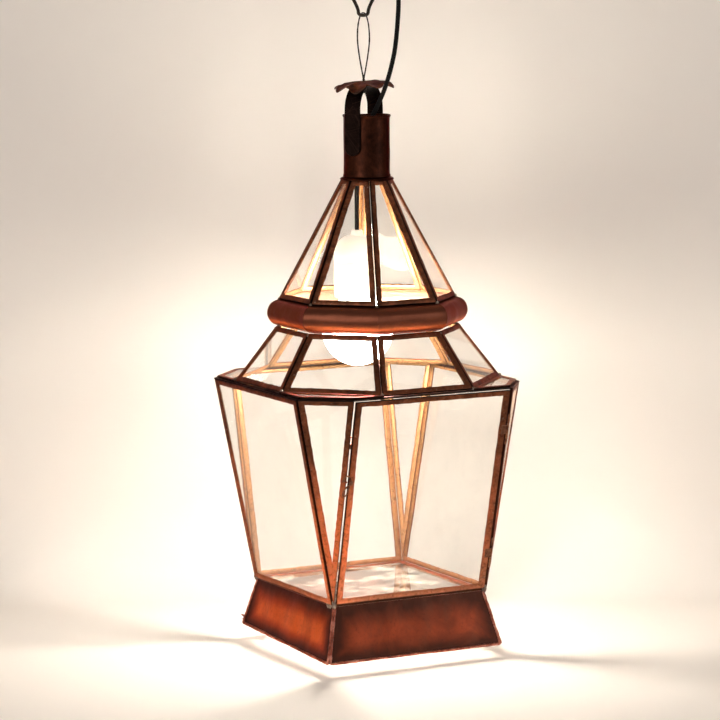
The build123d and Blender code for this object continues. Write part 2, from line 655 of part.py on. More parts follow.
def main():
    os.makedirs("parts", exist_ok=True)

    panels, rolled_foot, seams = make_plinth()
    export("plinth_panels", *panels)
    export("plinth_foot_bead", rolled_foot)
    export("plinth_seams", *seams)
    floor_frame, floor_glass = make_floor()
    export("floor_frame", floor_frame)
    export("floor_glass", floor_glass)

    door_frame, door_glass = make_side(0, margin=door_gap)
    export("door_frame", door_frame)
    export("door_glass", door_glass)
    for k, name in ((1, "right"), (2, "back"), (3, "left")):
        side_frame, side_glass = make_side(k)
        export(f"pane_frame_{name}", side_frame)
        export(f"pane_glass_{name}", side_glass)
    corner_frames, corner_panes = zip(*[make_corner(k) for k in range(4)])
    export("corner_frames", *corner_frames)
    export("corner_glass", *corner_panes)
    export("top_rim", make_rim())
    shelf_frames, shelf_panes = zip(*[make_shelf(k) for k in range(4)])
    export("shelf_frames", *shelf_frames)
    export("shelf_glass", *shelf_panes)

    fixed, moving, pins = make_hinges()
    export("hinge_knuckles_fixed", *fixed)
    export("hinge_knuckles_door", *moving)
    export("hinge_pins", *pins)
    hook, rivet, catch = make_latch(corner_frames[3])
    export("latch_hook", hook)
    export("latch_rivet", rivet)
    export("latch_catch", catch)
    export("door_stop", make_stop())

    frames, panes = glazed_tier(skirt_low, rim_top, skirt_high, skirt_top, skirt_came)
    export("skirt_frames", *frames)
    export("skirt_glass", *panes)
    export("bolster", *make_bolster())
    frames, panes = glazed_tier(cone_low, cone_foot, cone_high, cone_top, cone_came)
    export("cone_frames", *frames)
    export("cone_glass", *panes)

    tube, collar = make_neck()
    export("neck_tube", tube)
    export("neck_collar", collar)
    export("strap_handle", make_handle())
    export("rosette", make_rosette())

    cap, shell, insert, screw, glass, lead, grip = make_lamp()
    export("holder_cap", cap)
    export("holder_shell", shell)
    export("holder_insert", insert)
    export("bulb_cap", screw)
    export("bulb_glass", glass)
    export("lamp_lead", lead)
    export("flex_grip", grip)

    export("chain_link", make_link())
    export("wire_loop", make_loop())
    export("ceiling_hook", make_hook())
    rose, bracket, nuts, bush, block = make_ceiling()
    export("ceiling_rose", rose)
    export("ceiling_bracket", bracket)
    export("hook_nuts", *nuts)
    export("flex_bush", bush)
    export("terminal_block", block)
    for name, tube in zip(("flex_low", "flex_middle", "flex_top"), make_flex()):
        export(name, tube)


main()
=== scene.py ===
import math

import bpy
from mathutils import Matrix, Quaternion, Vector, noise


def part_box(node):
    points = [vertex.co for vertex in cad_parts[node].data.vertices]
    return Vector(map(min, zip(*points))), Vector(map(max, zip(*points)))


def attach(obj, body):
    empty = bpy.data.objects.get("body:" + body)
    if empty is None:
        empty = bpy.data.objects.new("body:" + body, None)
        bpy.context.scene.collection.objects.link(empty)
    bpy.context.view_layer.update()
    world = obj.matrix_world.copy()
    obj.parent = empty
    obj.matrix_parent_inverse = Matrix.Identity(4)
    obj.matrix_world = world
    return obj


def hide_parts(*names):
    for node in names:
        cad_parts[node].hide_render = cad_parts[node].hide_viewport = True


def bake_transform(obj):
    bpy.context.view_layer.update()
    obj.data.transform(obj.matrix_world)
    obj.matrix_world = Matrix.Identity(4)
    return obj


noise.seed_set(7)     # until this call, noise_vector is seeded from the clock
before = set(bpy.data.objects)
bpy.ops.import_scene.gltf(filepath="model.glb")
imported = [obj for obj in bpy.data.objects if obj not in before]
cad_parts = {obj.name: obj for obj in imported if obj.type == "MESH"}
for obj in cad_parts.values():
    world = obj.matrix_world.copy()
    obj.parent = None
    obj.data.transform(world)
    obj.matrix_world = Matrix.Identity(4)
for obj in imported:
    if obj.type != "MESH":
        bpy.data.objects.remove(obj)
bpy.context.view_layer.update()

# ---- places, read from the frame, and the driving sizes ----
# Local places are in millimetres on the lantern's own axis, with Z up from the plinth's foot.
MM = 0.001
floor_low, floor_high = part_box("floor_frame")
rim_low, rim_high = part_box("top_rim")
bolster_box_low, bolster_box_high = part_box("bolster")
neck_box_low, neck_box_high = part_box("neck_tube")
plinth_high = 46.5
floor_level = plinth_high + 0.1
origin = Vector(((floor_low.x + floor_high.x) / 2, (floor_low.y + floor_high.y) / 2,
                 floor_low.z - floor_level * MM))

floor_half = (floor_high.x - floor_low.x) / 2 / MM
pane_foot = (floor_high.z - origin.z) / MM
body_top = (rim_low.z - origin.z) / MM
rim_top = (rim_high.z - origin.z) / MM
floor_thick = pane_foot - floor_level
came_thick, shelf_thick = 3.0, 2.2
floor_corners = [(-floor_half, -floor_half), (floor_half, -floor_half),
                 (floor_half, floor_half), (-floor_half, floor_half)]
top_corners = [(-72.8, -111.0), (80.0, -111.0), (106.7, -77.0), (106.7, 77.0),
               (77.0, 111.0), (-77.0, 111.0), (-111.0, 77.0), (-111.0, -81.0)]
stile_came, rail_came, corner_stile, corner_rail = 5.6, 4.2, 4.8, 3.8
floor_came, shelf_came, skirt_came, cone_came = 6.4, 4.6, 4.6, 4.4
door_gap = 0.8
skirt_low, skirt_high, skirt_top = 115.5, 79.0, 279.0
cone_low, cone_high, cone_foot, cone_top = 76.0, 20.0, 304.4, 409.0
bolster_low = (bolster_box_low.z - origin.z) / MM
bolster_high = (bolster_box_high.z - origin.z) / MM
bolster_wall, bolster_bulge = 71.4, 10.5
neck_foot = (neck_box_low.z - origin.z) / MM
neck_top = (neck_box_high.z - origin.z) / MM
neck_radius = 20.4
plinth_foot, foot_front, foot_back = 86.0, -1.5, 4.4
hang = Vector((-origin.x, -origin.y, 0)) / MM
strap_turn = math.radians(35)
strap_end, arch_spring, strap_wide, strap_thick = 431.0, 470.6, 15.0, 1.7
arch_radius = neck_radius + 0.9        # to the strap's inner face
lamp_at = (-7.8, 4.2)
flex_turn = math.radians(-28.3)   # direction in which the flex swings out


def at(x, y, z):
    """A place in the frame, in metres, from the lantern's own millimetres."""
    return origin + Vector((x, y, z)) * MM


def from_hang(side, behind, height, turn=0.0):
    """A place given from the hanging line, to the side and behind, with both turned about it."""
    return at(hang.x + side * math.cos(turn) - behind * math.sin(turn),
              hang.y + side * math.sin(turn) + behind * math.cos(turn), height)


def turns(count):
    """The angles of evenly spaced steps round a circle."""
    return [2 * math.pi * step / count for step in range(count)]


# ---- camera ----
camera_heading, camera_drop, camera_roll = map(math.radians, (28.13, 7.445, -0.35))
camera_aim, camera_distance, camera_lens = Vector((-0.0040, 0.0025, -0.4213)), 2.993, 168.8


def make_camera():
    level = math.cos(camera_drop)
    forward = Vector((math.sin(camera_heading) * level, math.cos(camera_heading) * level,
                      -math.sin(camera_drop)))
    camera = bpy.data.objects.new("camera", bpy.data.cameras.new("camera"))
    bpy.context.scene.collection.objects.link(camera)
    camera.location = camera_aim - forward * camera_distance
    camera.rotation_mode = "QUATERNION"
    camera.rotation_quaternion = forward.to_track_quat("-Z", "Y") @ Quaternion((0, 0, 1), camera_roll)
    camera.data.lens = camera_lens
    camera.data.sensor_width = 36
    camera.data.clip_end = 50
    bpy.context.scene.camera = camera


make_camera()


# ---- meshes ----
def add_mesh(name, verts, faces, material, body=None, sharp=40, values=None):
    """A new mesh object, smooth apart from its edges sharper than an angle."""
    mesh = bpy.data.meshes.new(name)
    mesh.from_pydata([tuple(v) for v in verts], [], faces)
    mesh.validate()
    mesh.shade_smooth()
    mesh.set_sharp_from_angle(angle=math.radians(sharp))
    for key, data in (values or {}).items():
        attribute = mesh.attributes.new(key, "FLOAT", "POINT")
        attribute.data.foreach_set("value", data)
    mesh.materials.append(material)
    piece = bpy.data.objects.new(name, mesh)
    bpy.context.scene.collection.objects.link(piece)
    if body:
        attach(piece, body)
    return piece


class Shape:
    """Vertices and faces gathered from several forms, to make one mesh."""

    def __init__(self):
        self.verts, self.faces, self.values = [], [], {}

    def add(self, verts, faces, **values):
        start = len(self.verts)
        self.verts += verts
        self.faces += [tuple(start + i for i in face) for face in faces]
        for key, data in values.items():
            self.values.setdefault(key, []).extend(data)

    def bar(self, points, radius, **form):
        self.add(*sweep(points, radius, **form))

    def turned(self, centre, profile, sides=64, ripple=None):
        self.add(*lathe(centre, profile, sides, ripple))

    def make(self, name, material, body, sharp=40):
        return add_mesh(name, self.verts, self.faces, material, body, sharp, self.values)


def ring_faces(rings, size, closed):
    """Quads between successive rings of points, each ring closed on itself."""
    faces = []
    for i in range(rings if closed else rings - 1):
        for k in range(size):
            a, b = i * size, ((i + 1) % rings) * size
            faces.append((a + k, a + (k + 1) % size, b + (k + 1) % size, b + k))
    return faces


def end_faces(rings, size):
    """The two faces that close an open run of rings."""
    return [tuple(reversed(range(size))), tuple(range((rings - 1) * size, rings * size))]


def wobble(place, seed):
    """A small hand-made unevenness at a place: a coarse one of 0.30 mm and a fine one of 0.05 mm."""
    shift = Vector((seed, -seed * 0.7, seed * 1.3))
    move = noise.noise_vector(place * 28 + shift) * 0.30
    move += noise.noise_vector(place * 160 + shift) * 0.05
    return move * MM


def sweep(points, radius, sides=12, closed=False, flat=1.0, rough=0.0):
    """A round bar along points. radius is in millimetres, or a function of the share of the way along."""
    count = len(points)
    size = radius if callable(radius) else lambda share: radius
    tangents = []
    for i in range(count):
        before = points[(i - 1) % count] if closed or i else points[i]
        after = points[(i + 1) % count] if closed or i < count - 1 else points[i]
        tangents.append((after - before).normalized())
    normal = tangents[0].orthogonal().normalized()
    normals = [normal]
    for i in range(1, count):
        turn = tangents[i - 1].rotation_difference(tangents[i])
        normal = (turn @ normal).normalized()
        normals.append(normal)
    twist = 0.0
    if closed:
        back = tangents[-1].rotation_difference(tangents[0]) @ normals[-1]
        twist = math.atan2(back.cross(normals[0]).dot(tangents[0]), back.dot(normals[0]))
    verts = []
    for i in range(count):
        share = i / (count if closed else count - 1)
        side = Quaternion(tangents[i], twist * share) @ normals[i]
        up = tangents[i].cross(side)
        for angle in turns(sides):
            offset = side * math.cos(angle) + up * math.sin(angle) * flat
            place = points[i] + offset * (size(share) * MM)
            if rough:
                place += offset * noise.noise(place * 300) * rough * MM
            verts.append(place)
    faces = ring_faces(count, sides, closed)
    return verts, faces if closed else faces + end_faces(count, sides)


def spline_points(route, closed=False, steps=16):
    """The points of a smooth NURBS spline that follows a route."""
    curve = bpy.data.curves.new("route", "CURVE")
    curve.dimensions = "3D"
    curve.resolution_u = steps
    spline = curve.splines.new("NURBS")
    spline.points.add(len(route) - 1)
    for point, place in zip(spline.points, route):
        point.co = (*place, 1.0)
    spline.order_u = 3
    if closed:
        spline.use_cyclic_u = True
    else:
        spline.use_endpoint_u = True
    holder = bpy.data.objects.new("route", curve)
    line = bpy.data.meshes.new_from_object(holder)
    points = [v.co.copy() for v in line.vertices]
    bpy.data.objects.remove(holder)
    bpy.data.curves.remove(curve)
    bpy.data.meshes.remove(line)
    return points


# ---- materials ----
class Nodes:
    """A material's node tree, with short ways to add nodes and link them."""

    def __init__(self, name):
        self.material = bpy.data.materials.new(name)
        self.material.use_nodes = True
        self.tree = self.material.node_tree
        self.tree.nodes.clear()
        self.output = self.tree.nodes.new("ShaderNodeOutputMaterial")

    def link(self, source, socket):
        self.tree.links.new(source, socket)

    def node(self, kind, inputs=None, **settings):
        made = self.tree.nodes.new(kind)
        for key, value in settings.items():
            setattr(made, key, value)
        for key, value in (inputs or {}).items():
            self.feed(made.inputs[key], value)
        return made

    def feed(self, socket, value):
        if isinstance(value, bpy.types.NodeSocket):
            self.link(value, socket)
        elif socket.type == "RGBA" and len(value) == 3:
            socket.default_value = (*value, 1)
        else:
            socket.default_value = value

    def place(self):
        return self.node("ShaderNodeTexCoord").outputs["Object"]

    def value(self, name):
        return self.node("ShaderNodeAttribute", attribute_name=name).outputs["Fac"]

    def height(self, low, high):
        """How far up between two local heights, from 0 to 1."""
        z = self.node("ShaderNodeSeparateXYZ", {0: self.place()}).outputs["Z"]
        return self.carry(z, (origin.z + low * MM, origin.z + high * MM))

    def carry(self, value, start=(0.0, 1.0), end=(0.0, 1.0)):
        """A value carried from one range to another."""
        return self.node("ShaderNodeMapRange", {
            "Value": value, "From Min": start[0], "From Max": start[1],
            "To Min": end[0], "To Max": end[1]}).outputs[0]

    def clouded(self, base, cloud, amount):
        """A value pushed up and down by a noise."""
        return self.math("ADD", base, self.math("MULTIPLY", self.math("SUBTRACT", cloud, 0.5), amount))

    def overlay(self, colour, tint, factor, start, end, most):
        """A colour with a tint over it, as a factor goes from start to end, up to its most."""
        return self.mix(self.ramp(factor, (start, 0.0), (end, most)), colour, tint)

    def noise(self, scale, detail=4.0, rough=0.6, stretch=(1, 1, 1), distort=0.0):
        place = self.place()
        if stretch != (1, 1, 1):
            place = self.node("ShaderNodeMapping", {"Vector": place, "Scale": stretch}).outputs[0]
        made = self.node("ShaderNodeTexNoise", {
            "Vector": place, "Scale": scale, "Detail": detail, "Roughness": rough, "Distortion": distort})
        return made.outputs["Fac"]

    def ramp(self, factor, *stops):
        """A colour ramp; each stop is a position and a colour or a grey."""
        made = self.node("ShaderNodeValToRGB", {"Fac": factor})
        points = made.color_ramp.elements
        while len(points) < len(stops):
            points.new(0.5)
        for point, (position, colour) in zip(points, stops):
            point.position = position
            point.color = (*colour, 1) if isinstance(colour, tuple) else (colour, colour, colour, 1)
        return made.outputs["Color"]

    def mix(self, factor, a, b, blend="MIX"):
        made = self.node("ShaderNodeMix", data_type="RGBA", blend_type=blend)
        for socket, value in ((made.inputs[0], factor), (made.inputs[6], a), (made.inputs[7], b)):
            self.feed(socket, value)
        return made.outputs[2]

    def math(self, operation, a, b):
        made = self.node("ShaderNodeMath", operation=operation)
        self.feed(made.inputs[0], a)
        self.feed(made.inputs[1], b)
        return made.outputs[0]

    def bumps(self, *layers):
        """Layers of bump: each a noise's scale, detail and roughness, then a strength and a distance."""
        normal = None
        for scale, detail, rough, strength, distance in layers:
            inputs = {"Height": self.noise(scale, detail, rough), "Strength": strength, "Distance": distance}
            if normal is not None:
                inputs["Normal"] = normal
            normal = self.node("ShaderNodeBump", inputs).outputs[0]
        return normal

    def principled(self, **inputs):
        names = {key.replace("_", " "): value for key, value in inputs.items()}
        return self.node("ShaderNodeBsdfPrincipled", names).outputs[0]

    def finish(self, shader):
        self.link(shader, self.output.inputs["Surface"])
        return self.material

    def copper(self, colour, metallic, rough, normal, coat, coat_rough=0.25):
        """Worn copper, finished: reddish at grazing angles, under a thin film of lacquer."""
        return self.finish(self.principled(
            Base_Color=colour, Metallic=metallic, Roughness=rough, Normal=normal,
            Specular_Tint=(0.55, 0.26, 0.17), Coat_Weight=coat, Coat_Roughness=coat_rough))


speck_brown = (0.05, 0.02, 0.012)


def scratches(m, scale, width=0.03):
    """Fine crossed lines, 1 on a scratch and 0 elsewhere."""
    lines = None
    for turn, stretch in ((0.5, (1.0, 0.04, 0.3)), (2.1, (0.05, 1.0, 0.2))):
        place = m.node("ShaderNodeMapping", {"Vector": m.place(), "Rotation": (turn, turn * 0.6, turn * 1.7)})
        place = m.node("ShaderNodeMapping", {"Vector": place.outputs[0], "Scale": stretch})
        cells = m.node("ShaderNodeTexVoronoi", {"Vector": place.outputs[0], "Scale": scale},
                       feature="DISTANCE_TO_EDGE")
        line = m.math("LESS_THAN", cells.outputs["Distance"], width)
        lines = line if lines is None else m.math("MAXIMUM", lines, line)
    return lines


def aged_copper(name, dark, middle, bright, mottle, roughness=(0.30, 0.52), coat=0.15):
    """Browned copper: mottled, streaked, darker where grime stays, rubbed bright in places."""
    m = Nodes(name)
    large = m.noise(mottle, 5, 0.62, distort=0.6)
    small = m.noise(mottle * 7, 4, 0.7)
    colour = m.ramp(large, (0.32, dark), (0.50, middle), (0.70, bright))
    colour = m.overlay(colour, dark, small, 0.42, 0.72, 0.55)
    colour = m.mix(m.math("MULTIPLY", scratches(m, 220), 0.08), colour, bright)
    rough = m.carry(m.noise(mottle * 3, 3, 0.6), (0.3, 0.7), roughness)
    normal = m.bumps((260, 3, 0.5, 0.25, 0.0006), (1600, 2, 0.6, 0.12, 0.0002))
    return m.copper(colour, 0.97, rough, normal, coat)


def copper_came():
    """Folded copper channel: dark above, orange and then mauve towards the foot, specks of tin. The orange is
    a painted highlight, brightest low on the front corner; the inner faces carry painted lamp light, and the
    groove by the pane carries painted shade.
    """
    m = Nodes("copper_came")
    # tone carries a painted highlight, brightest low on the front corner
    warm = m.clouded(m.value("tone"), m.noise(55, 5, 0.62, distort=0.6), 0.85)
    colour = m.ramp(warm, (0.02, (0.055, 0.020, 0.010)), (0.25, (0.17, 0.056, 0.025)),
                    (0.50, (0.40, 0.11, 0.048)), (0.75, (0.66, 0.18, 0.072)), (1.0, (0.83, 0.19, 0.065)))
    # Painted lamp light: the inner faces, which face the bulb, are painted golden
    colour = m.mix(m.math("MULTIPLY", m.value("inside"), 0.75), colour, (0.50, 0.29, 0.13))
    colour = m.mix(m.ramp(m.height(46, 100), (0.0, 0.35), (1.0, 0.0)), colour, (0.42, 0.20, 0.12))
    colour = m.overlay(colour, (0.60, 0.42, 0.32), m.noise(420, 4, 0.75), 0.60, 0.75, 0.6)
    colour = m.overlay(colour, (0.035, 0.014, 0.009), m.noise(300, 4, 0.7, distort=0.4), 0.50, 0.72, 0.75)
    # Painted shade: darkest in the channel by the pane's edge and close to the mitres
    groove_shade = m.ramp(m.value("groove"), (0.0, 0.92), (0.30, 0.15), (1.0, 0.0))
    colour = m.mix(groove_shade, colour, (0.010, 0.005, 0.004))
    rough = m.ramp(m.noise(170, 3), (0.3, 0.30), (0.7, 0.50))
    normal = m.bumps((240, 3, 0.5, 0.35, 0.0008), (1600, 2, 0.6, 0.15, 0.0002))
    return m.copper(colour, 0.85, rough, normal, 0.08)


def plain_plastic(name, colour, roughness, lit=0.0):
    """Moulded plastic, clouded a little darker; lit is a painted glow that stands in for the lamp's light
    falling on it.
    """
    m = Nodes(name)
    tint = m.mix(m.noise(90, 4), colour, tuple(c * 0.88 for c in colour))
    rough = m.carry(m.noise(400, 2), end=(roughness * 0.85, roughness * 1.2))
    return m.finish(m.principled(Base_Color=tint, Roughness=rough, Emission_Color=(1.0, 0.90, 0.76),
                                 Emission_Strength=lit, Normal=m.bumps((1400, 2, 0.6, 0.08, 0.0002))))


def dark_metal(name, colour, worn, roughness, wear):
    """Metal in a dull finish that is worn through in patches and on scratches."""
    m = Nodes(name)
    tint = m.overlay(colour, worn, m.noise(70, 5, 0.7), 0.45, 0.75, wear)
    tint = m.mix(m.math("MULTIPLY", scratches(m, 120, 0.012), 0.25), tint, worn)
    rough = m.carry(m.noise(300, 3), end=(roughness * 0.75, roughness * 1.3))
    return m.finish(m.principled(Base_Color=tint, Metallic=0.95, Specular_IOR_Level=0.2, Roughness=rough,
                                 Normal=m.bumps((500, 4, 0.7, 0.3, 0.0005))))


def thin_glass(name, dusty):
    """Clear window glass with a film of dust, which lets the lamp's light through."""
    m = Nodes(name)
    wave = m.bumps((9, 2, 0.4, 0.05, 0.004))
    glass = m.principled(Base_Color=(0.995, 1.0, 0.99), Roughness=0.015, Transmission_Weight=1.0,
                         IOR=1.32, Normal=wave)
    clear = m.node("ShaderNodeBsdfTransparent", {"Color": (0.96, 0.97, 0.96, 1)}).outputs[0]
    shadow = m.node("ShaderNodeLightPath").outputs["Is Shadow Ray"]
    pane = m.node("ShaderNodeMixShader", {0: shadow, 1: glass, 2: clear}).outputs[0]
    dust = m.node("ShaderNodeBsdfDiffuse", {"Color": (0.85, 0.78, 0.68, 1)}).outputs[0]
    film = m.ramp(m.noise(38, 6, 0.75), (0.45, 0.0), (0.80, dusty))
    return m.finish(m.node("ShaderNodeMixShader", {0: film, 1: pane, 2: dust}).outputs[0])


def lit_opal():
    """The bulb's opal glass, alight, its glow clouded a little."""
    m = Nodes("opal_glass")
    cloud = m.ramp(m.noise(60, 3), (0.2, (1.0, 0.87, 0.76)), (0.8, (1.0, 0.92, 0.83)))
    return m.finish(m.principled(Base_Color=(0.95, 0.93, 0.88), Roughness=0.25, Emission_Color=cloud,
                                 Emission_Strength=bulb_glow))


def solder():
    m = Nodes("tin_solder")
    tint = m.ramp(m.noise(300, 4, 0.7), (0.3, (0.10, 0.06, 0.045)), (0.6, (0.36, 0.28, 0.22)),
                  (0.8, (0.75, 0.68, 0.60)))
    rough = m.ramp(m.noise(500, 3), (0.3, 0.22), (0.7, 0.5))
    return m.finish(m.principled(Base_Color=tint, Metallic=0.9, Roughness=rough,
                                 Normal=m.bumps((700, 3, 0.6, 0.3, 0.0004))))


def copper_sheet():
    """The plinth's sheet: a painted highlight in the middle of each panel, strongest on the left panel,
    darker towards its edges.
    """
    m = Nodes("copper_sheet")
    cloud = m.noise(26, 6, 0.62, distort=0.8)
    # centre carries the painted highlight in each panel's middle
    colour = m.ramp(m.clouded(m.value("centre"), cloud, 0.6),
                    (0.05, (0.055, 0.016, 0.009)), (0.30, (0.17, 0.034, 0.014)),
                    (0.62, (0.40, 0.065, 0.022)), (0.95, (0.72, 0.14, 0.045)))
    streak = m.noise(16, 5, 0.7, stretch=(3.0, 3.0, 0.5))
    colour = m.overlay(colour, (0.10, 0.040, 0.022), streak, 0.50, 0.75, 0.55)
    colour = m.overlay(colour, speck_brown, m.noise(420, 3, 0.7), 0.55, 0.8, 0.5)
    rough = m.ramp(cloud, (0.3, 0.44), (0.7, 0.30))
    normal = m.bumps((30, 3, 0.4, 0.35, 0.004), (900, 3, 0.6, 0.10, 0.0003))
    return m.copper(colour, 0.85, rough, normal, 0.1, 0.3)


def rolled_copper():
    """The bolster: brown above, with a painted highlight in a band low on its belly."""
    m = Nodes("copper_bolster")
    cloud = m.noise(40, 5, 0.62, distort=0.5)
    # belly carries the painted highlight
    colour = m.ramp(m.clouded(m.value("belly"), cloud, 0.5), (0.10, (0.17, 0.050, 0.026)),
                    (0.42, (0.33, 0.085, 0.038)), (0.72, (0.85, 0.20, 0.070)))
    colour = m.overlay(colour, speck_brown, m.noise(420, 3, 0.7), 0.55, 0.8, 0.4)
    colour = m.mix(m.value("inside"), colour, (0.30, 0.22, 0.16))
    rough = m.ramp(cloud, (0.3, 0.40), (0.7, 0.28))
    return m.copper(colour, 0.88, rough, m.bumps((55, 3, 0.4, 0.25, 0.003)), 0.08)


def black_flex():
    m = Nodes("flex_sheath")
    tint = m.mix(m.noise(200, 3), (0.006, 0.0055, 0.0055), (0.016, 0.014, 0.013))
    return m.finish(m.principled(Base_Color=tint, Roughness=0.60, Specular_IOR_Level=0.08,
                                 Normal=m.bumps((1200, 2, 0.6, 0.1, 0.0002))))


bulb_glow = 175.0
came_metal = copper_came()
sheet_metal = copper_sheet()
bolster_metal = rolled_copper()
bead_metal = aged_copper("copper_bead", (0.16, 0.045, 0.030), (0.42, 0.12, 0.075), (0.80, 0.36, 0.26),
                         mottle=90)
neck_metal = aged_copper("copper_top", (0.016, 0.006, 0.004), (0.038, 0.012, 0.007), (0.09, 0.026, 0.013),
                         mottle=34, coat=0.02)
rosette_metal = aged_copper("copper_rosette", (0.025, 0.012, 0.008), (0.065, 0.034, 0.024),
                            (0.30, 0.115, 0.045), mottle=50)
fitting_metal = aged_copper("copper_fittings", speck_brown, (0.22, 0.09, 0.05), (0.50, 0.25, 0.14),
                            mottle=110)
rose_metal = aged_copper("rose_paint", (0.05, 0.022, 0.014), (0.11, 0.045, 0.027), (0.16, 0.07, 0.042),
                         mottle=20, roughness=(0.34, 0.44))
strap_steel = dark_metal("dark_steel", (0.010, 0.005, 0.004), (0.06, 0.030, 0.022), 0.5, 0.3)
wire_steel = dark_metal("wire_steel", (0.022, 0.017, 0.014), (0.16, 0.12, 0.10), 0.4, 0.4)
tin = solder()
glass = thin_glass("clear_glass", 0.025)
dusty_glass = thin_glass("floor_glass_dusty", 0.45)
opal = lit_opal()
sheath = black_flex()
# The holder's lit value is a painted glow standing in for the lamp's light on it
white_plastic = plain_plastic("white_plastic", (0.90, 0.87, 0.80), 0.35, lit=0.55)
black_plastic = plain_plastic("black_plastic", (0.02, 0.018, 0.017), 0.5)
terminal_plastic = plain_plastic("terminal_plastic", (0.80, 0.79, 0.74), 0.4)
cap_metal = dark_metal("bulb_cap_metal", (0.62, 0.60, 0.56), (0.75, 0.73, 0.70), 0.3, 0.5)


def finish_node(node, material):
    """Gives a CAD node that stays in view its material."""
    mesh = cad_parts[node].data
    mesh.materials.clear()
    mesh.materials.append(material)


# ---- the flex ----
flex_places = [(-8.86, 0.0, 422.0), (-8.86, 0.0, 433.0), (-3.4, -5.6, 447.0), (5.3, -10.6, 461.0),
               (11.8, -15.0, 474.0), (18.9, -21.4, 490.5), (24.2, -24.0, 508.5), (28.2, -22.4, 527.5),
               (31.0, -16.0, 561.0), (30.5, -11.0, 581.0), (25.8, -4.4, 610.0), (22.5, -2.2, 633.0),
               (22.5, -2.2, 655.0)]
flex_route = [from_hang(*place, flex_turn) for place in flex_places]
flex_radius = 2.0


def flex_points(first, last):
    """The route from one cut to the next, with the middle of each run that is cut."""
    points = list(flex_route[first:last + 1])
    if first > 0:
        points.insert(0, (flex_route[first - 1] + flex_route[first]) / 2)
    if last < len(flex_route) - 1:
        points.append((flex_route[last] + flex_route[last + 1]) / 2)
    return points


def make_flex(name, first, last, from_top=False):
    line = spline_points(flex_points(first, last))
    piece = add_mesh(name + "_sheath", *sweep(line, flex_radius, sides=16), sheath)
    if from_top:
        line.reverse()
    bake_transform(piece)
    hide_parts(name)
    return line


make_flex("flex_low", 0, 7)
make_flex("flex_middle", 8, 9)
make_flex("flex_top", 10, 12, from_top=True)


# ---- stage and light ----
def make_stage():
    """A pale sweep: floor, a wide curve, and the wall behind."""
    level, back, front, high = origin.z - 0.012, 0.29, -4.0, 4.0
    width, bend, bend_steps = 9.0, 0.09, 12
    m = Nodes("backdrop")
    paint = m.principled(Base_Color=(0.90, 0.85, 0.80), Roughness=0.9, Specular_IOR_Level=0.1)
    clear = m.node("ShaderNodeBsdfTransparent").outputs[0]
    behind = m.node("ShaderNodeNewGeometry").outputs["Backfacing"]
    m.finish(m.node("ShaderNodeMixShader", {0: behind, 1: paint, 2: clear}).outputs[0])
    away = Vector((math.sin(camera_heading), math.cos(camera_heading), 0))
    side = Vector((away.y, -away.x, 0))
    outline = [(front, 0.0)]
    for step in range(bend_steps + 1):
        angle = math.pi / 2 * step / bend_steps
        outline.append((back - bend + bend * math.sin(angle), bend - bend * math.cos(angle)))
    outline.append((back, high))
    verts, faces = [], []
    for depth, height in outline:
        for reach in (-width / 2, width / 2):
            verts.append(away * depth + side * reach + Vector((0, 0, level + height)))
    for i in range(len(outline) - 1):
        faces.append((2 * i, 2 * i + 1, 2 * i + 3, 2 * i + 2))
    add_mesh("backdrop", verts, faces, m.material)


def make_area(name, place, aim, size, power, colour):
    light = bpy.data.lights.new(name, "AREA")
    light.shape = "RECTANGLE"
    light.size, light.size_y = size
    light.energy = power
    light.color = colour
    lamp = bpy.data.objects.new(name, light)
    bpy.context.scene.collection.objects.link(lamp)
    lamp.location = place
    lamp.rotation_mode = "QUATERNION"
    lamp.rotation_quaternion = (Vector(aim) - Vector(place)).to_track_quat("-Z", "Y")


def make_lights():
    world = bpy.data.worlds.new("world")
    bpy.context.scene.world = world
    world.use_nodes = True
    sky = world.node_tree.nodes["Background"]
    sky.inputs["Color"].default_value = (1.0, 0.95, 0.90, 1)
    sky.inputs["Strength"].default_value = 0.25
    bpy.context.scene.view_settings.view_transform = "Standard"
    centre = (0, 0, -0.35)
    make_area("soft_left", (-2.6, -1.6, 0.5), centre, (1.8, 1.8), 22, (1.0, 0.96, 0.92))
    make_area("soft_right", (1.9, -2.4, 0.3), centre, (1.2, 2.0), 12, (1.0, 0.97, 0.95))


make_stage()
make_lights()


# ---- came frames ----
def inset(points, margins):
    """A convex outline, drawn anticlockwise, moved inwards by one margin for each side."""
    lines = []
    for a, b, margin in zip(points, points[1:] + points[:1], margins):
        along = (b - a).normalized()
        inwards = Vector((-along.y, along.x))
        lines.append((inwards, inwards.dot(a) + margin))
    corners = []
    for (n0, c0), (n1, c1) in zip(lines[-1:] + lines[:-1], lines):
        det = n0.x * n1.y - n1.x * n0.y
        corners.append(Vector(((c0 * n1.y - c1 * n0.y) / det, (n0.x * c1 - n1.x * c0) / det)))
    return corners


def came_section(width, thick):
    """The folded channel's outline: across from the pane's edge, and out from its inner face."""
    w, t = width, thick
    return [(w, 0.30), (w - 0.3, 0.0), (w * 0.5, -0.08), (0.6, 0.0), (0.15, 0.15), (0.0, 0.6), (-0.02, t / 2),
            (0.0, t - 0.6), (0.15, t - 0.15), (0.6, t), (w * 0.35, t + 0.12), (w * 0.7, t + 0.10),
            (w - 0.4, t - 0.02), (w, t - 0.25), (w - 0.1, t - 0.5), (w - 0.5, t - 0.55), (1.1, t - 0.55),
            (1.0, t - 0.6), (1.0, 0.6), (1.1, 0.55), (w - 0.5, 0.55), (w - 0.1, 0.5)]


def plane_axes(places):
    """Unit directions along a flat outline's first side, up from it, and out of it."""
    along = (places[1] - places[0]).normalized()
    normal = along.cross(places[-1] - places[0]).normalized()
    return along, normal.cross(along), normal


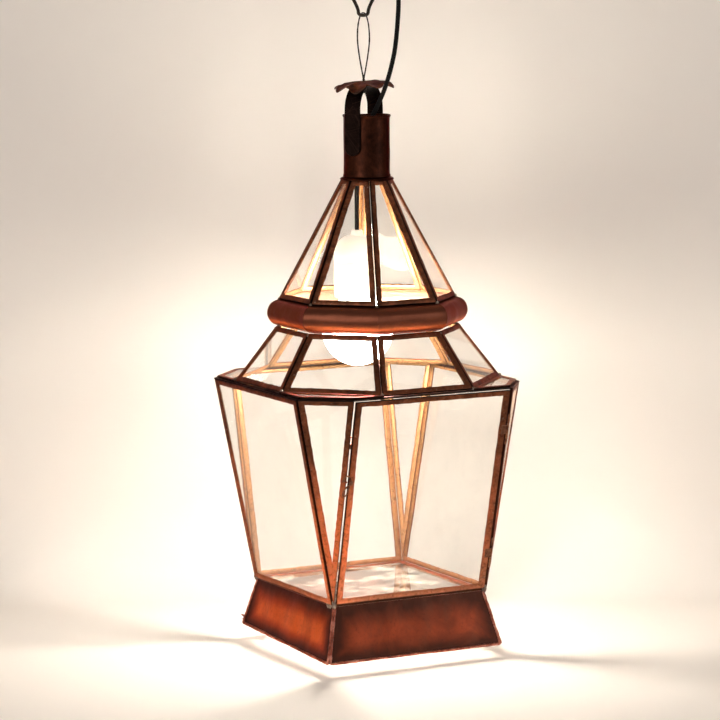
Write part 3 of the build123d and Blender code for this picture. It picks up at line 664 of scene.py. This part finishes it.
def came_highlight_tone(place):
    """How bright the copper is painted at a place: a painted highlight, most of all low on the front corner.
    """
    low = min(1.0, max(0.0, (190.0 - place.z) / 60))
    front = max(0.0, 1 - (Vector((place.x, place.y)) - Vector((-80, -84))).length / 34)
    if place.z > rim_top:
        return 0.26
    return 0.24 + 0.24 * low + 0.60 * front * low


def add_came(shape, corners, widths, thick, seed=0.0, margin=0.0):
    """One mitred, slightly uneven came frame round a pane. Corners are local, in millimetres."""
    places = [Vector(c) for c in corners]
    ex, ey, normal = plane_axes(places)
    flat = [Vector(((p - places[0]).dot(ex), (p - places[0]).dot(ey))) for p in places]
    sections = [came_section(width, thick) for width in widths]
    size, count = len(sections[0]), len(flat)
    rails = []
    for s in range(size):
        rails.append(inset(flat, [margin + sections[i][s][0] for i in range(count)]))
    verts, groove, tone, inside, rings = [], [], [], [], 0
    for i in range(count):
        j = (i + 1) % count
        length = (flat[j] - flat[i]).length
        steps = max(2, round(length / 4.5))
        inwards = Vector((-(flat[j] - flat[i]).y, (flat[j] - flat[i]).x)).normalized()
        for step in range(steps):
            share = step / steps
            near_corner = min(share, 1 - share) * length
            for s, (u, v) in enumerate(sections[i]):
                spot = rails[s][i].lerp(rails[s][j], share)
                if u > widths[i] - 0.6 and step:
                    spot += inwards * noise.noise(Vector((*spot, seed)) * 0.22) * 0.45
                place = places[0] + ex * spot.x + ey * spot.y + normal * v
                # groove is 0 in the channel by the pane's edge and near the mitres, where shade is painted
                groove.append(min(1.0, max(0.0, u / 1.5)) * min(1.0, 0.35 + near_corner / 5))
                # tone: the painted highlight at this place
                tone.append(came_highlight_tone(place))
                # inside marks the inner faces, where the lamp's light is painted golden
                inside.append(1.0 if v < 0.35 else 0.0)
                place = at(*place)
                verts.append(place + wobble(place, seed))
            rings += 1
    shape.add(verts, ring_faces(rings, size, True), groove=groove, tone=tone, inside=inside)


def replace(shape, name, material, body, nodes, sharp=40):
    """Makes a shape into the visible piece that stands in for CAD nodes."""
    piece = shape.make(name, material, body, sharp)
    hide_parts(*nodes)


def make_cames(name, nodes, body, loops, widths, thick=came_thick, margin=0.0):
    shape = Shape()
    for index, corners in enumerate(loops):
        add_came(shape, corners, widths, thick, seed=3.1 * index + len(name), margin=margin)
    replace(shape, name, came_metal, body, nodes, sharp=50)


def wide_corners(k):
    """A wide side from its foot round to its top: 0 is the door's, then 1 to 3 anticlockwise."""
    return [(*floor_corners[k], pane_foot), (*floor_corners[(k + 1) % 4], pane_foot),
            (*top_corners[2 * k + 1], body_top), (*top_corners[2 * k], body_top)]


def narrow_corners(k):
    """The triangle, point down, at the far end of wide side k."""
    return [(*floor_corners[(k + 1) % 4], pane_foot), (*top_corners[(2 * k + 2) % 8], body_top),
            (*top_corners[2 * k + 1], body_top)]


def shelf_corners(k):
    """The flat shelf at the far end of wide side k."""
    roof_line = (skirt_low * math.cos(math.radians(22.5)) + came_thick) * math.sqrt(2)
    tangents = [(1, 0), (0, 1), (-1, 0), (0, -1)]
    ends = []
    for side, sign in ((k, 1), ((k + 1) % 4, -1)):
        tx, ty = tangents[side]
        x, y = top_corners[2 * side]
        reach = x * ty - y * tx
        along = sign * (roof_line - reach)
        ends.append((reach * ty + along * tx, -reach * tx + along * ty, rim_top))
    return [ends[0], (*top_corners[2 * k + 1], rim_top), (*top_corners[(2 * k + 2) % 8], rim_top), ends[1]]


def octagon_corner(radius, height, k):
    angle = math.radians(22.5 + 45 * k)
    return (radius * math.cos(angle), radius * math.sin(angle), height)


def tier_loops(low_radius, low, high_radius, high):
    loops = []
    for k in range(8):
        loops.append([octagon_corner(low_radius, low, k), octagon_corner(low_radius, low, k + 1),
                      octagon_corner(high_radius, high, k + 1), octagon_corner(high_radius, high, k)])
    return loops


def make_all_cames():
    wide = [rail_came, stile_came, rail_came, stile_came]
    make_cames("floor_came", ["floor_frame"], "lantern", [[(*c, floor_level) for c in floor_corners]],
               [floor_came] * 4, thick=floor_thick)
    for k, side in ((1, "right"), (2, "back"), (3, "left")):
        make_cames(f"pane_came_{side}", [f"pane_frame_{side}"], "lantern", [wide_corners(k)], wide)
    make_cames("door_came", ["door_frame"], "door", [wide_corners(0)], wide, margin=door_gap)
    make_cames("corner_cames", ["corner_frames"], "lantern", [narrow_corners(k) for k in range(4)],
               [corner_stile, corner_rail, corner_stile])
    make_cames("shelf_cames", ["shelf_frames"], "lantern", [shelf_corners(k) for k in range(4)],
               [shelf_came] * 4, thick=shelf_thick)
    make_cames("skirt_cames", ["skirt_frames"], "lantern",
               tier_loops(skirt_low, rim_top, skirt_high, skirt_top), [skirt_came] * 4)
    make_cames("cone_cames", ["cone_frames"], "lantern",
               tier_loops(cone_low, cone_foot, cone_high, cone_top), [cone_came] * 4)


# ---- turned and bent forms ----
def lathe(centre, profile, sides=64, ripple=None):
    """A form turned about an upright axis from a closed outline of radius and height."""
    rings = []
    for angle in turns(sides):
        for radius, height in profile:
            if ripple:
                radius, height = ripple(radius, height, angle)
            rings.append(at(centre[0] + radius * math.cos(angle),
                            centre[1] + radius * math.sin(angle), height))
    return rings, ring_faces(sides, len(profile), True)


def blob(shape, place, radii, seed):
    """An uneven dab of metal. Places and radii are local millimetres."""
    verts, rings, sides = [], 9, 12
    for i in range(rings):
        tilt = math.pi * (i + 0.5) / rings
        for angle in turns(sides):
            way = Vector((math.sin(tilt) * math.cos(angle), math.sin(tilt) * math.sin(angle), math.cos(tilt)))
            grow = 1 + 0.35 * noise.noise(way * 1.7 + Vector((seed, seed * 2, 1)))
            verts.append(at(*(Vector(place) + way * Vector(radii) * grow)))
    faces = [tuple(reversed(face)) for face in ring_faces(rings, sides, False)]
    shape.add(verts, faces + end_faces(rings, sides))


def sheet_grid(shape, surface, across_steps, up_steps, thick, **values):
    """A closed sheet over a surface: surface(u, v) gives a place and its outward direction."""
    outer, inner, data = [], [], {key: [] for key in values}
    for j in range(up_steps + 1):
        for i in range(across_steps + 1):
            u, v = i / across_steps, j / up_steps
            place, out = surface(u, v)
            outer.append(at(*place))
            inner.append(at(*(place - out * thick)))
            for key, rule in values.items():
                data[key].append(rule(u, v))
    width, total = across_steps + 1, len(outer)
    faces = []
    for j in range(up_steps):
        for i in range(across_steps):
            a = j * width + i
            quad = (a, a + 1, a + 1 + width, a + width)
            faces.append(quad)
            faces.append(tuple(total + q for q in reversed(quad)))
    rim = list(range(width)) + [j * width + across_steps for j in range(1, up_steps + 1)]
    rim += [up_steps * width + i for i in range(across_steps - 1, -1, -1)]
    rim += [j * width for j in range(up_steps - 1, 0, -1)]
    for a, b in zip(rim, rim[1:] + rim[:1]):
        faces.append((b, a, total + a, total + b))
    shape.add(outer + inner, faces, **{key: rule * 2 for key, rule in data.items()})


# ---- plinth ----
foot_slope = (foot_back - foot_front) / (2 * plinth_foot)
side_slope = (plinth_foot - floor_half) / plinth_high
corner_signs = [Vector((-1, -1)), Vector((1, -1)), Vector((1, 1)), Vector((-1, 1))]


def plinth_corner(lift, signs):
    """Where a corner of the plinth meets the plane that lies a lift above its sloping foot."""
    middle = (foot_front + foot_back) / 2 + lift
    half = (plinth_foot - side_slope * middle) / (1 + side_slope * foot_slope * signs.y)
    return Vector((signs.x * half, signs.y * half, middle + foot_slope * signs.y * half))


def make_plinth():
    sheets, hems = Shape(), Shape()
    # A painted highlight: how bright the middle of each panel is painted, strongest on the left one, where
    # the light falls
    panel_highlight = (0.42, 0.30, 0.40, 0.95)     # how bright the middle of each panel is: the left one most
    for k in range(4):
        near, far = corner_signs[k], corner_signs[(k + 1) % 4]
        a, b = plinth_corner(1.2, near), plinth_corner(1.2, far)
        c = Vector((*(far * floor_half), plinth_high))
        d = Vector((*(near * floor_half), plinth_high))
        along = (b - a).normalized()
        a, b, c, d = a + along * 1.0, b - along * 1.0, c - along * 0.9, d + along * 0.9
        out = along.cross(d - a).normalized()

        def surface(u, v):
            place = a.lerp(b, u).lerp(d.lerp(c, u), v)
            swell = 1.3 * math.sin(math.pi * u) * math.sin(math.pi * v)
            swell += 0.7 * noise.noise(place * 0.035 + Vector((k * 5.0, 0, 0))) * min(1, 6 * v, 6 * (1 - v))
            return place + out * (swell - 0.2), out

        # The painted highlight: strongest in the panel's middle, fading to nothing at its edges
        def centre(u, v):
            edge = min(u * 7, (1 - u) * 7, v * 2.6, (1 - v) * 2.0, 1.0)
            return panel_highlight[k] * edge * edge * (3 - 2 * edge)

        sheet_grid(sheets, surface, 36, 14, 1.0, centre=centre)
        lift = out * 0.35
        up_near, up_far = (d - a).normalized(), (c - b).normalized()
        route = [d - up_near * 0.8, d - up_near * 12, a + up_near * 14, a + up_near * 2.6, a + along * 0.6,
                 a + along * 5, a + along * 30, b - along * 30, b - along * 5, b - along * 0.6,
                 b + up_far * 2.6, b + up_far * 14, c - up_far * 12, c - up_far * 0.8]
        line = spline_points([at(*(place + lift)) for place in route], steps=10)
        hems.bar(line, lambda share: 1.25 if 0.18 < share < 0.82 else 0.95, sides=10, rough=0.5)
    tip = plinth_corner(3.0, corner_signs[3])
    for rise, reach in ((1.0, (-3.4, -0.6)), (4.6, (-1.6, 2.6))):
        start = tip + Vector((0.4, -0.4, rise))
        end = start + Vector((*reach, 0.9))
        line = [at(*start.lerp(end, step / 5)) for step in range(6)]
        hems.bar(line, lambda share: 1.3 - 0.9 * share, sides=10, flat=0.5, rough=0.8)
    replace(sheets, "plinth_sheets", sheet_metal, "lantern", ["plinth_panels"], sharp=60)
    replace(hems, "plinth_hems", bead_metal, "lantern", ["plinth_seams", "plinth_foot_bead"])


# ---- bolster ----
def make_bolster():
    """Eight mitred lengths of half-round sheet, each with a slightly flared end over the next."""
    shape = Shape()
    middle, rise = (bolster_low + bolster_high) / 2, (bolster_high - bolster_low) / 2
    arc = 18
    for k in range(8):
        turn = Matrix.Rotation(math.radians(45 * k), 3, "Z")
        section = []
        for step in range(arc + 1):
            angle = -math.pi / 2 + math.pi * step / arc
            section.append((bolster_wall + bolster_bulge * math.cos(angle),
                            middle + rise * math.sin(angle), angle))
        section.insert(0, (bolster_wall - 1.4, bolster_low - 1.2, -math.pi / 2))
        section.append((bolster_wall - 1.2, bolster_high + 0.7, math.pi / 2))
        outside = len(section)
        section += [(p - 1.0, middle + (z - middle) * 0.9, angle) for p, z, angle in reversed(section)]
        facing = turn @ Vector((1, 0, 0))
        # How strong the painted highlight is on this segment: most on those facing front-left and right,
        # towards the light
        highlight_strength = 0.35 + 0.65 * max(0.0, facing.dot(Vector((-0.75, -0.66, 0)))) + 0.4 * max(0.0, facing.x)
        verts, belly, inside, steps = [], [], [], 14
        for step in range(steps + 1):
            share = 2 * step / steps - 1
            flare = 0.45 * max(0.0, abs(share) * 8 - 7) * (1 if share > 0 else 0.4)
            for index, (p, z, angle) in enumerate(section):
                reach = p + (flare if index < outside else 0)
                inside.append(0.0 if index < outside else 1.0)
                reach += 0.45 * noise.noise(Vector((share * 2.2, angle * 1.4, k * 7.0))) * math.cos(angle)
                side = share * (reach * math.tan(math.radians(22.5)) + 0.35)
                place = turn @ Vector((reach, side, z))
                verts.append(at(*place))
                belly.append(highlight_strength * math.exp(-((angle + 0.75) / 0.38) ** 2))
        faces = ring_faces(steps + 1, len(section), False)
        last = steps * len(section)
        for i in range(outside - 1):
            a, b = i, len(section) - 1 - i
            faces.append((b, b - 1, a + 1, a))
            faces.append((last + a, last + a + 1, last + b - 1, last + b))
        shape.add(verts, faces, belly=belly, inside=inside)
    replace(shape, "bolster_sheet", bolster_metal, "lantern", ["bolster"], sharp=45)


# ---- neck, handle and rosette ----
def make_neck():
    tube = Shape()
    r, low, high = neck_radius, neck_foot, neck_top

    def dented(radius, height, angle):
        share = (height - low) / (high - low)
        uneven = 0.28 * noise.noise(Vector((math.cos(angle), math.sin(angle), share * 3)) * 1.3)
        lip = 0.35 * math.sin(3 * angle + 1) if height > high - 2 else 0.0
        return radius + uneven, height + lip

    profile = [(r - 1, low)]
    profile += [(r + 0.5, low), (r + 0.6, low + 0.6), (r + 0.4, low + 1.4)]
    profile += [(r, low + 2.4 + (high - 5 - low) * step / 14) for step in range(15)]
    profile += [(r + 0.2, high - 1.7), (r + 0.75, high - 1.2), (r + 0.85, high - 0.5), (r + 0.6, high)]
    profile += [(r - 0.4, high), (r - 1.0, high - 0.8)]
    profile += [(r - 1, high - 4 - (high - 5 - low) * step / 6) for step in range(6)]
    tube.turned((0, 0), profile, 96, dented)
    seam = [at((r + 0.1) * math.cos(2.1), (r + 0.1) * math.sin(2.1), low + 1 + (high - 4 - low) * s / 20)
            for s in range(21)]
    tube.bar(seam, 0.8, sides=8, rough=1.2)
    replace(tube, "neck_sheet", neck_metal, "lantern", ["neck_tube"], sharp=50)

    collar = Shape()

    def crumpled(radius, height, angle):
        droop = max(0.0, radius - 19.5)
        fold = 0.55 * math.sin(8 * angle)
        fold += 0.5 * noise.noise(Vector((math.cos(angle), math.sin(angle), 4)) * 3)
        return radius + droop * 0.10 * fold, height - droop * (0.42 + 0.16 * fold)

    top, low = neck_foot + 0.2, neck_foot - 1.2
    profile = [(radius, top) for radius in (3.4, 12, 19, 20.5, 21.5, 22.5, 23.4)] + [(23.7, top - 0.5)]
    profile += [(radius, low) for radius in (23.3, 22.4, 21.4, 20.4, 19, 12, 3.4)]
    collar.turned((0, 0), profile, 96, crumpled)
    replace(collar, "neck_collar_sheet", neck_metal, "lantern", ["neck_collar"], sharp=50)


def make_strap():
    """The flat strap bent into an arch, with rounded ends."""
    radius = arch_radius + strap_thick / 2
    leg, arc = arch_spring - strap_end, math.pi * radius
    total = 2 * leg + arc
    verts, steps, corner = [], 90, 0.45
    for step in range(steps + 1):
        run = total * step / steps
        if run < leg:
            side, height, out = -radius, strap_end + run, (-1.0, 0.0)
        elif run > leg + arc:
            side, height, out = radius, strap_end + total - run, (1.0, 0.0)
        else:
            angle = math.pi - (run - leg) / radius
            side, height = radius * math.cos(angle), arch_spring + radius * math.sin(angle)
            out = (math.cos(angle), math.sin(angle))
        end = min(run, total - run)
        half = strap_wide / 2
        if end < half:
            half = max(1.2, math.sqrt(half ** 2 - (half - end) ** 2))
        half += 0.12 * noise.noise(Vector((run * 0.13, 2, 0)))
        thick = strap_thick / 2
        ring = [(-half, -thick + corner), (-half + corner, -thick), (half - corner, -thick),
                (half, -thick + corner), (half, thick - corner), (half - corner, thick),
                (0, thick + 0.12), (-half + corner, thick), (-half, thick - corner)]
        for wide, deep in ring:
            verts.append(from_hang(side + out[0] * deep, -wide, height + out[1] * deep, strap_turn))
    shape = Shape()
    shape.add(verts, ring_faces(steps + 1, 9, False) + end_faces(steps + 1, 9))
    replace(shape, "strap", strap_steel, "lantern", ["strap_handle"], sharp=35)


def make_rosette():
    """The leaf-shaped washer: eight drooping petals, each with a bent tip and a raised rib."""
    shape = Shape()
    dome, radius = 495.6, 27.0
    tilt = Matrix.Rotation(math.radians(-4), 3, "Y")
    droops = (1.0, 0.75, 1.25, 0.9, 1.15, 1.3, 0.8, 1.1)

    def surface(u, v):
        angle = 2 * math.pi * u
        petal = (8 * u) % 8
        which = int(petal + 0.5) % 8
        from_rib = abs(petal - round(petal)) * 2
        edge = radius * (1.0 - 0.20 * from_rib ** 2.2)
        r = 1.7 + (edge - 1.7) * v
        fall = (r / radius) ** 2
        drop = 6.2 * fall * droops[which] * (1 - 0.55 * from_rib ** 1.5)
        drop += 0.6 * noise.noise(Vector((math.cos(angle) * 2, math.sin(angle) * 2, v * 2)))
        place = Vector((r * math.cos(angle), r * math.sin(angle), -drop))
        return tilt @ place + Vector((hang.x, hang.y, dome)), Vector((0, 0, 1))

    sheet_grid(shape, surface, 160, 14, 0.7)
    replace(shape, "rosette_leaf", rosette_metal, "lantern", ["rosette"], sharp=60)


# ---- chain, loop and hook ----
link_low, link_high, link_wire, hook_wire, loop_wire = 552.8, 612.6, 1.5, 2.2, 0.65


def make_link():
    quarter = [(4.9, 0.0), (4.9, 6.2), (15.5, 23.0)]
    right = [(x, link_low + z) for x, z in quarter] + [(x, link_high - z) for x, z in reversed(quarter)]
    route = [from_hang(x, 0, z) for x, z in right] + [from_hang(-x, 0, z) for x, z in reversed(right)]
    shape = Shape()
    shape.bar(spline_points(route, closed=True, steps=12), link_wire, sides=16, closed=True, rough=0.05)
    replace(shape, "link_wire", wire_steel, "link", ["chain_link"])


def make_loop():
    """The thin wire loop, its two ends twisted together, and the wound knot that holds the handle."""
    top = link_low + link_wire + loop_wire + 0.1
    half = [(5.0, top), (11.6, 541.0), (10.4, 522.0), (0.9, 499.0)]
    route = [from_hang(0, y, z) for y, z in reversed(half)] + [from_hang(0, -y, z) for y, z in half]
    shape = Shape()
    shape.bar(spline_points(route, steps=14), loop_wire, sides=10, rough=0.15)
    knot_top, twist_low = arch_spring + arch_radius - 0.1, 500.6
    for phase in (0.0, math.pi):
        line = []
        for step in range(61):
            height = twist_low + (knot_top - 4.0 - twist_low) * step / 60
            angle = phase + 2 * math.pi * 3.2 * step / 60
            line.append(at(hang.x + 0.62 * math.cos(angle), hang.y + 0.62 * math.sin(angle), height))
        shape.bar(line, 0.6, sides=8)
    line = []
    for step in range(121):
        angle = 2 * math.pi * 4.2 * step / 120
        reach = 1.85 + 0.25 * math.sin(angle * 0.7)
        line.append(at(hang.x + reach * math.cos(angle), hang.y + reach * math.sin(angle),
                       knot_top - 0.8 - 5.6 * step / 120))
    shape.bar(line, 0.7, sides=8)
    replace(shape, "loop_wire", wire_steel, "loop", ["wire_loop"])


def make_hook():
    saddle = link_high - link_wire - hook_wire - 0.1
    route = [(0, 664.0), (0, saddle + 34), (0, saddle + 21.2), (9.5, saddle + 14.2), (9.5, saddle),
             (-9.5, saddle), (-9.5, saddle + 10.4)]
    line = spline_points([from_hang(0, y, z) for y, z in route], steps=24)
    thread = 0.2

    def size(share):
        ridge = 0.10 * math.sin(share * 260) if share < thread else 0.0
        tip = min(1.0, 0.45 + (1 - share) * 30)
        return hook_wire * tip + ridge

    shape = Shape()
    shape.bar(line, size, sides=18, rough=0.05)
    replace(shape, "hook_wire", wire_steel, "ceiling_fitting", ["ceiling_hook"])


# ---- lamp ----
holder_low, holder_seam, holder_high = 305.0, 337.0, 364.5
bulb_centre, bulb_radius = 275.0, 31.0


def make_lamp():
    cap = Shape()
    seam = holder_seam
    profile = [(17.4, seam + 0.1), (19.6, seam + 0.1), (20.3, seam + 0.6), (20.4, seam + 1.4),
               (20.4, seam + 5.5)]
    profile += [(20.4 - 14.2 * (1 - math.cos(a)) ** 0.9, seam + 5.5 + 17.1 * math.sin(a) ** 0.95)
                for a in (math.pi / 2 * step / 12 for step in range(1, 13))]
    profile += [(5.4, seam + 23.4), (5.0, holder_high - 0.5), (4.5, holder_high), (1.8, holder_high),
                (1.8, holder_high - 6), (11.0, seam + 17), (16.4, seam + 8)]
    cap.turned(lamp_at, profile)
    replace(cap, "holder_dome", white_plastic, "lamp", ["holder_cap"], sharp=45)

    shell = Shape()

    def ribbed(radius, height, angle):
        gripped = holder_low + 3 < height < seam - 9 and radius > 20
        return radius + (0.28 * max(0.0, math.cos(32 * angle)) if gripped else 0.0), height

    profile = [(13.7, holder_low), (19.2, holder_low), (20.2, holder_low + 0.6), (20.4, holder_low + 1.6)]
    profile += [(20.4, holder_low + 3.2 + 2.6 * step) for step in range(9)]
    profile += [(20.4, seam - 1.4), (20.2, seam - 0.5), (19.6, seam - 0.1), (13.7, seam - 0.1)]
    shell.turned(lamp_at, profile, 128, ribbed)
    replace(shell, "holder_skirt", white_plastic, "lamp", ["holder_shell"], sharp=45)

    bulb = Shape()
    join = math.radians(37)
    steps = [(bulb_radius * math.cos(a), bulb_centre + bulb_radius * math.sin(a))
             for a in (-math.pi / 2 + 0.03 + (math.pi / 2 + join - 0.03) * step / 20 for step in range(21))]
    neck = [(20.2, 299.4), (17.0, 301.6), (14.8, 303.2)]
    outline = steps + neck
    inner = [(max(0.6, r - 1.0), z if r > 2 else z + 1.0) for r, z in reversed(outline)]
    bulb.turned(lamp_at, outline + inner)
    replace(bulb, "bulb_globe", opal, "lamp", ["bulb_glass"], sharp=45)


# ---- ceiling rose ----
def make_rose():
    low = 646.0
    shape = Shape()
    profile = [(2.35, low), (28, low), (31, low + 0.3), (34.6, low + 1.8), (38, low + 4.6), (40.6, low + 8.4),
               (42, low + 13), (42, low + 22.6), (42.4, low + 23.4), (42.0, low + 24), (41.0, low + 24),
               (40.8, low + 13.4), (37.3, low + 6.1), (33.8, low + 3.2), (29.6, low + 1.2), (2.35, low + 1.2)]
    shape.turned((hang.x, hang.y), profile, 96)
    replace(shape, "rose_shell", rose_metal, "ceiling_fitting", ["ceiling_rose"], sharp=40)


# ---- latch ----
def make_latch():
    ex, ey, normal = plane_axes([Vector(c) for c in wide_corners(0)])
    foot = Vector((0, -floor_half, pane_foot))
    level, wire = came_thick + 1.05, 0.65

    def spot(x, y, lift=level):
        return at(*(foot + ex * x + ey * y + normal * lift))

    x, y = -71.2, 112.6
    shape = Shape()
    eye = [spot(x + 1.5 * math.cos(a), y + 1.5 * math.sin(a)) for a in turns(24)]
    shape.bar(eye, wire, sides=10, closed=True)
    bend = [(-0.1, 1.5), (-0.9, 4.6), (-4.0, 7.4), (-7.4, 4.8), (-8.2, 1.4)]
    pull = [(-0.9, -1.0), (-5.6, -5.0), (-7.4, -10.0), (-5.2, -12.4), (-2.0, -8.6)]
    for run, closed in ((bend, False), (pull, True)):
        line = spline_points([spot(x + a, y + b) for a, b in run], closed=closed, steps=12)
        shape.bar(line, wire, sides=10, closed=closed, rough=0.3)
    replace(shape, "latch_wire", fitting_metal, "latch", ["latch_hook"])

    rivet = Shape()
    dome = [(radius, came_thick + rise) for radius, rise in
            ((0.72, -0.3), (0.72, 1.9), (1.5, 2.0), (1.6, 2.3), (1.3, 2.65), (0.7, 2.85), (0.05, 2.9),
             (0.05, -0.3))]
    verts = [spot(x + r * math.cos(a), y + r * math.sin(a), z) for a in turns(20) for r, z in dome]
    rivet.add(verts, ring_faces(20, len(dome), True))
    replace(rivet, "latch_pivot", fitting_metal, "door", ["latch_rivet"])


# ---- solder ----
def make_solder():
    """Dabs of solder at the joints of the frames, and a run down the front corner."""
    shape = Shape()
    tiers = ((cone_low + 3.4, cone_foot + 0.6, 1.6), (skirt_low + 3.6, rim_top + 1.8, 1.7),
             (skirt_high + 3.6, skirt_top - 0.4, 1.7))
    for k in range(8):
        for radius, height, size in tiers:
            tall = size * (0.9 + 0.25 * math.sin(5 * k + radius))
            blob(shape, octagon_corner(radius - 1.4, height, k), (size, size * 0.8, tall), seed=k + radius)
    for k, (x, y) in enumerate(floor_corners):
        out = Vector((x, y, 0)).normalized()
        blob(shape, (x + out.x * 0.8, y + out.y * 0.8, plinth_high + 2.2), (2.2, 2.2, 3.6), seed=k * 2.3)
    x, y = floor_corners[0]
    blob(shape, (x - 0.8, y + 8.0, plinth_high + 1.0), (1.0, 4.6, 3.4), seed=8.8)
    top = Vector((*top_corners[0], body_top))
    low = Vector((x, y, pane_foot))
    run = (top - low).normalized()
    lean = Vector((-0.45, -0.9, 0)).normalized()
    line = [at(*(low + run * (2 + 2.2 * step) + lean * (1.5 + 0.03 * step))) for step in range(10)]
    shape.bar(line, lambda share: 0.95 - 0.5 * share, sides=8, rough=1.4)
    front = octagon_corner(skirt_low, rim_top, 5)
    blob(shape, (front[0] * 1.03, front[1] * 1.03, rim_top - 1.5), (1.6, 1.2, 3.6), seed=4.2)
    piece = shape.make("solder_dabs", tin, "lantern")


for make in (make_all_cames, make_plinth, make_bolster, make_neck, make_strap, make_rosette, make_link,
             make_loop, make_hook, make_lamp, make_rose, make_latch, make_solder):
    make()
for material, nodes in (
        (glass, ("pane_glass_right", "pane_glass_back", "pane_glass_left", "door_glass", "corner_glass",
                 "shelf_glass", "skirt_glass", "cone_glass")),
        (dusty_glass, ("floor_glass",)), (came_metal, ("top_rim",)),
        (wire_steel, ("hook_nuts", "ceiling_bracket")),
        (fitting_metal, ("hinge_knuckles_fixed", "hinge_knuckles_door", "hinge_pins", "latch_catch",
                         "door_stop")),
        (black_plastic, ("flex_bush", "flex_grip")), (sheath, ("lamp_lead",)),
        (white_plastic, ("holder_insert",)), (cap_metal, ("bulb_cap",)),
        (terminal_plastic, ("terminal_block",))):
    for node in nodes:
        finish_node(node, material)
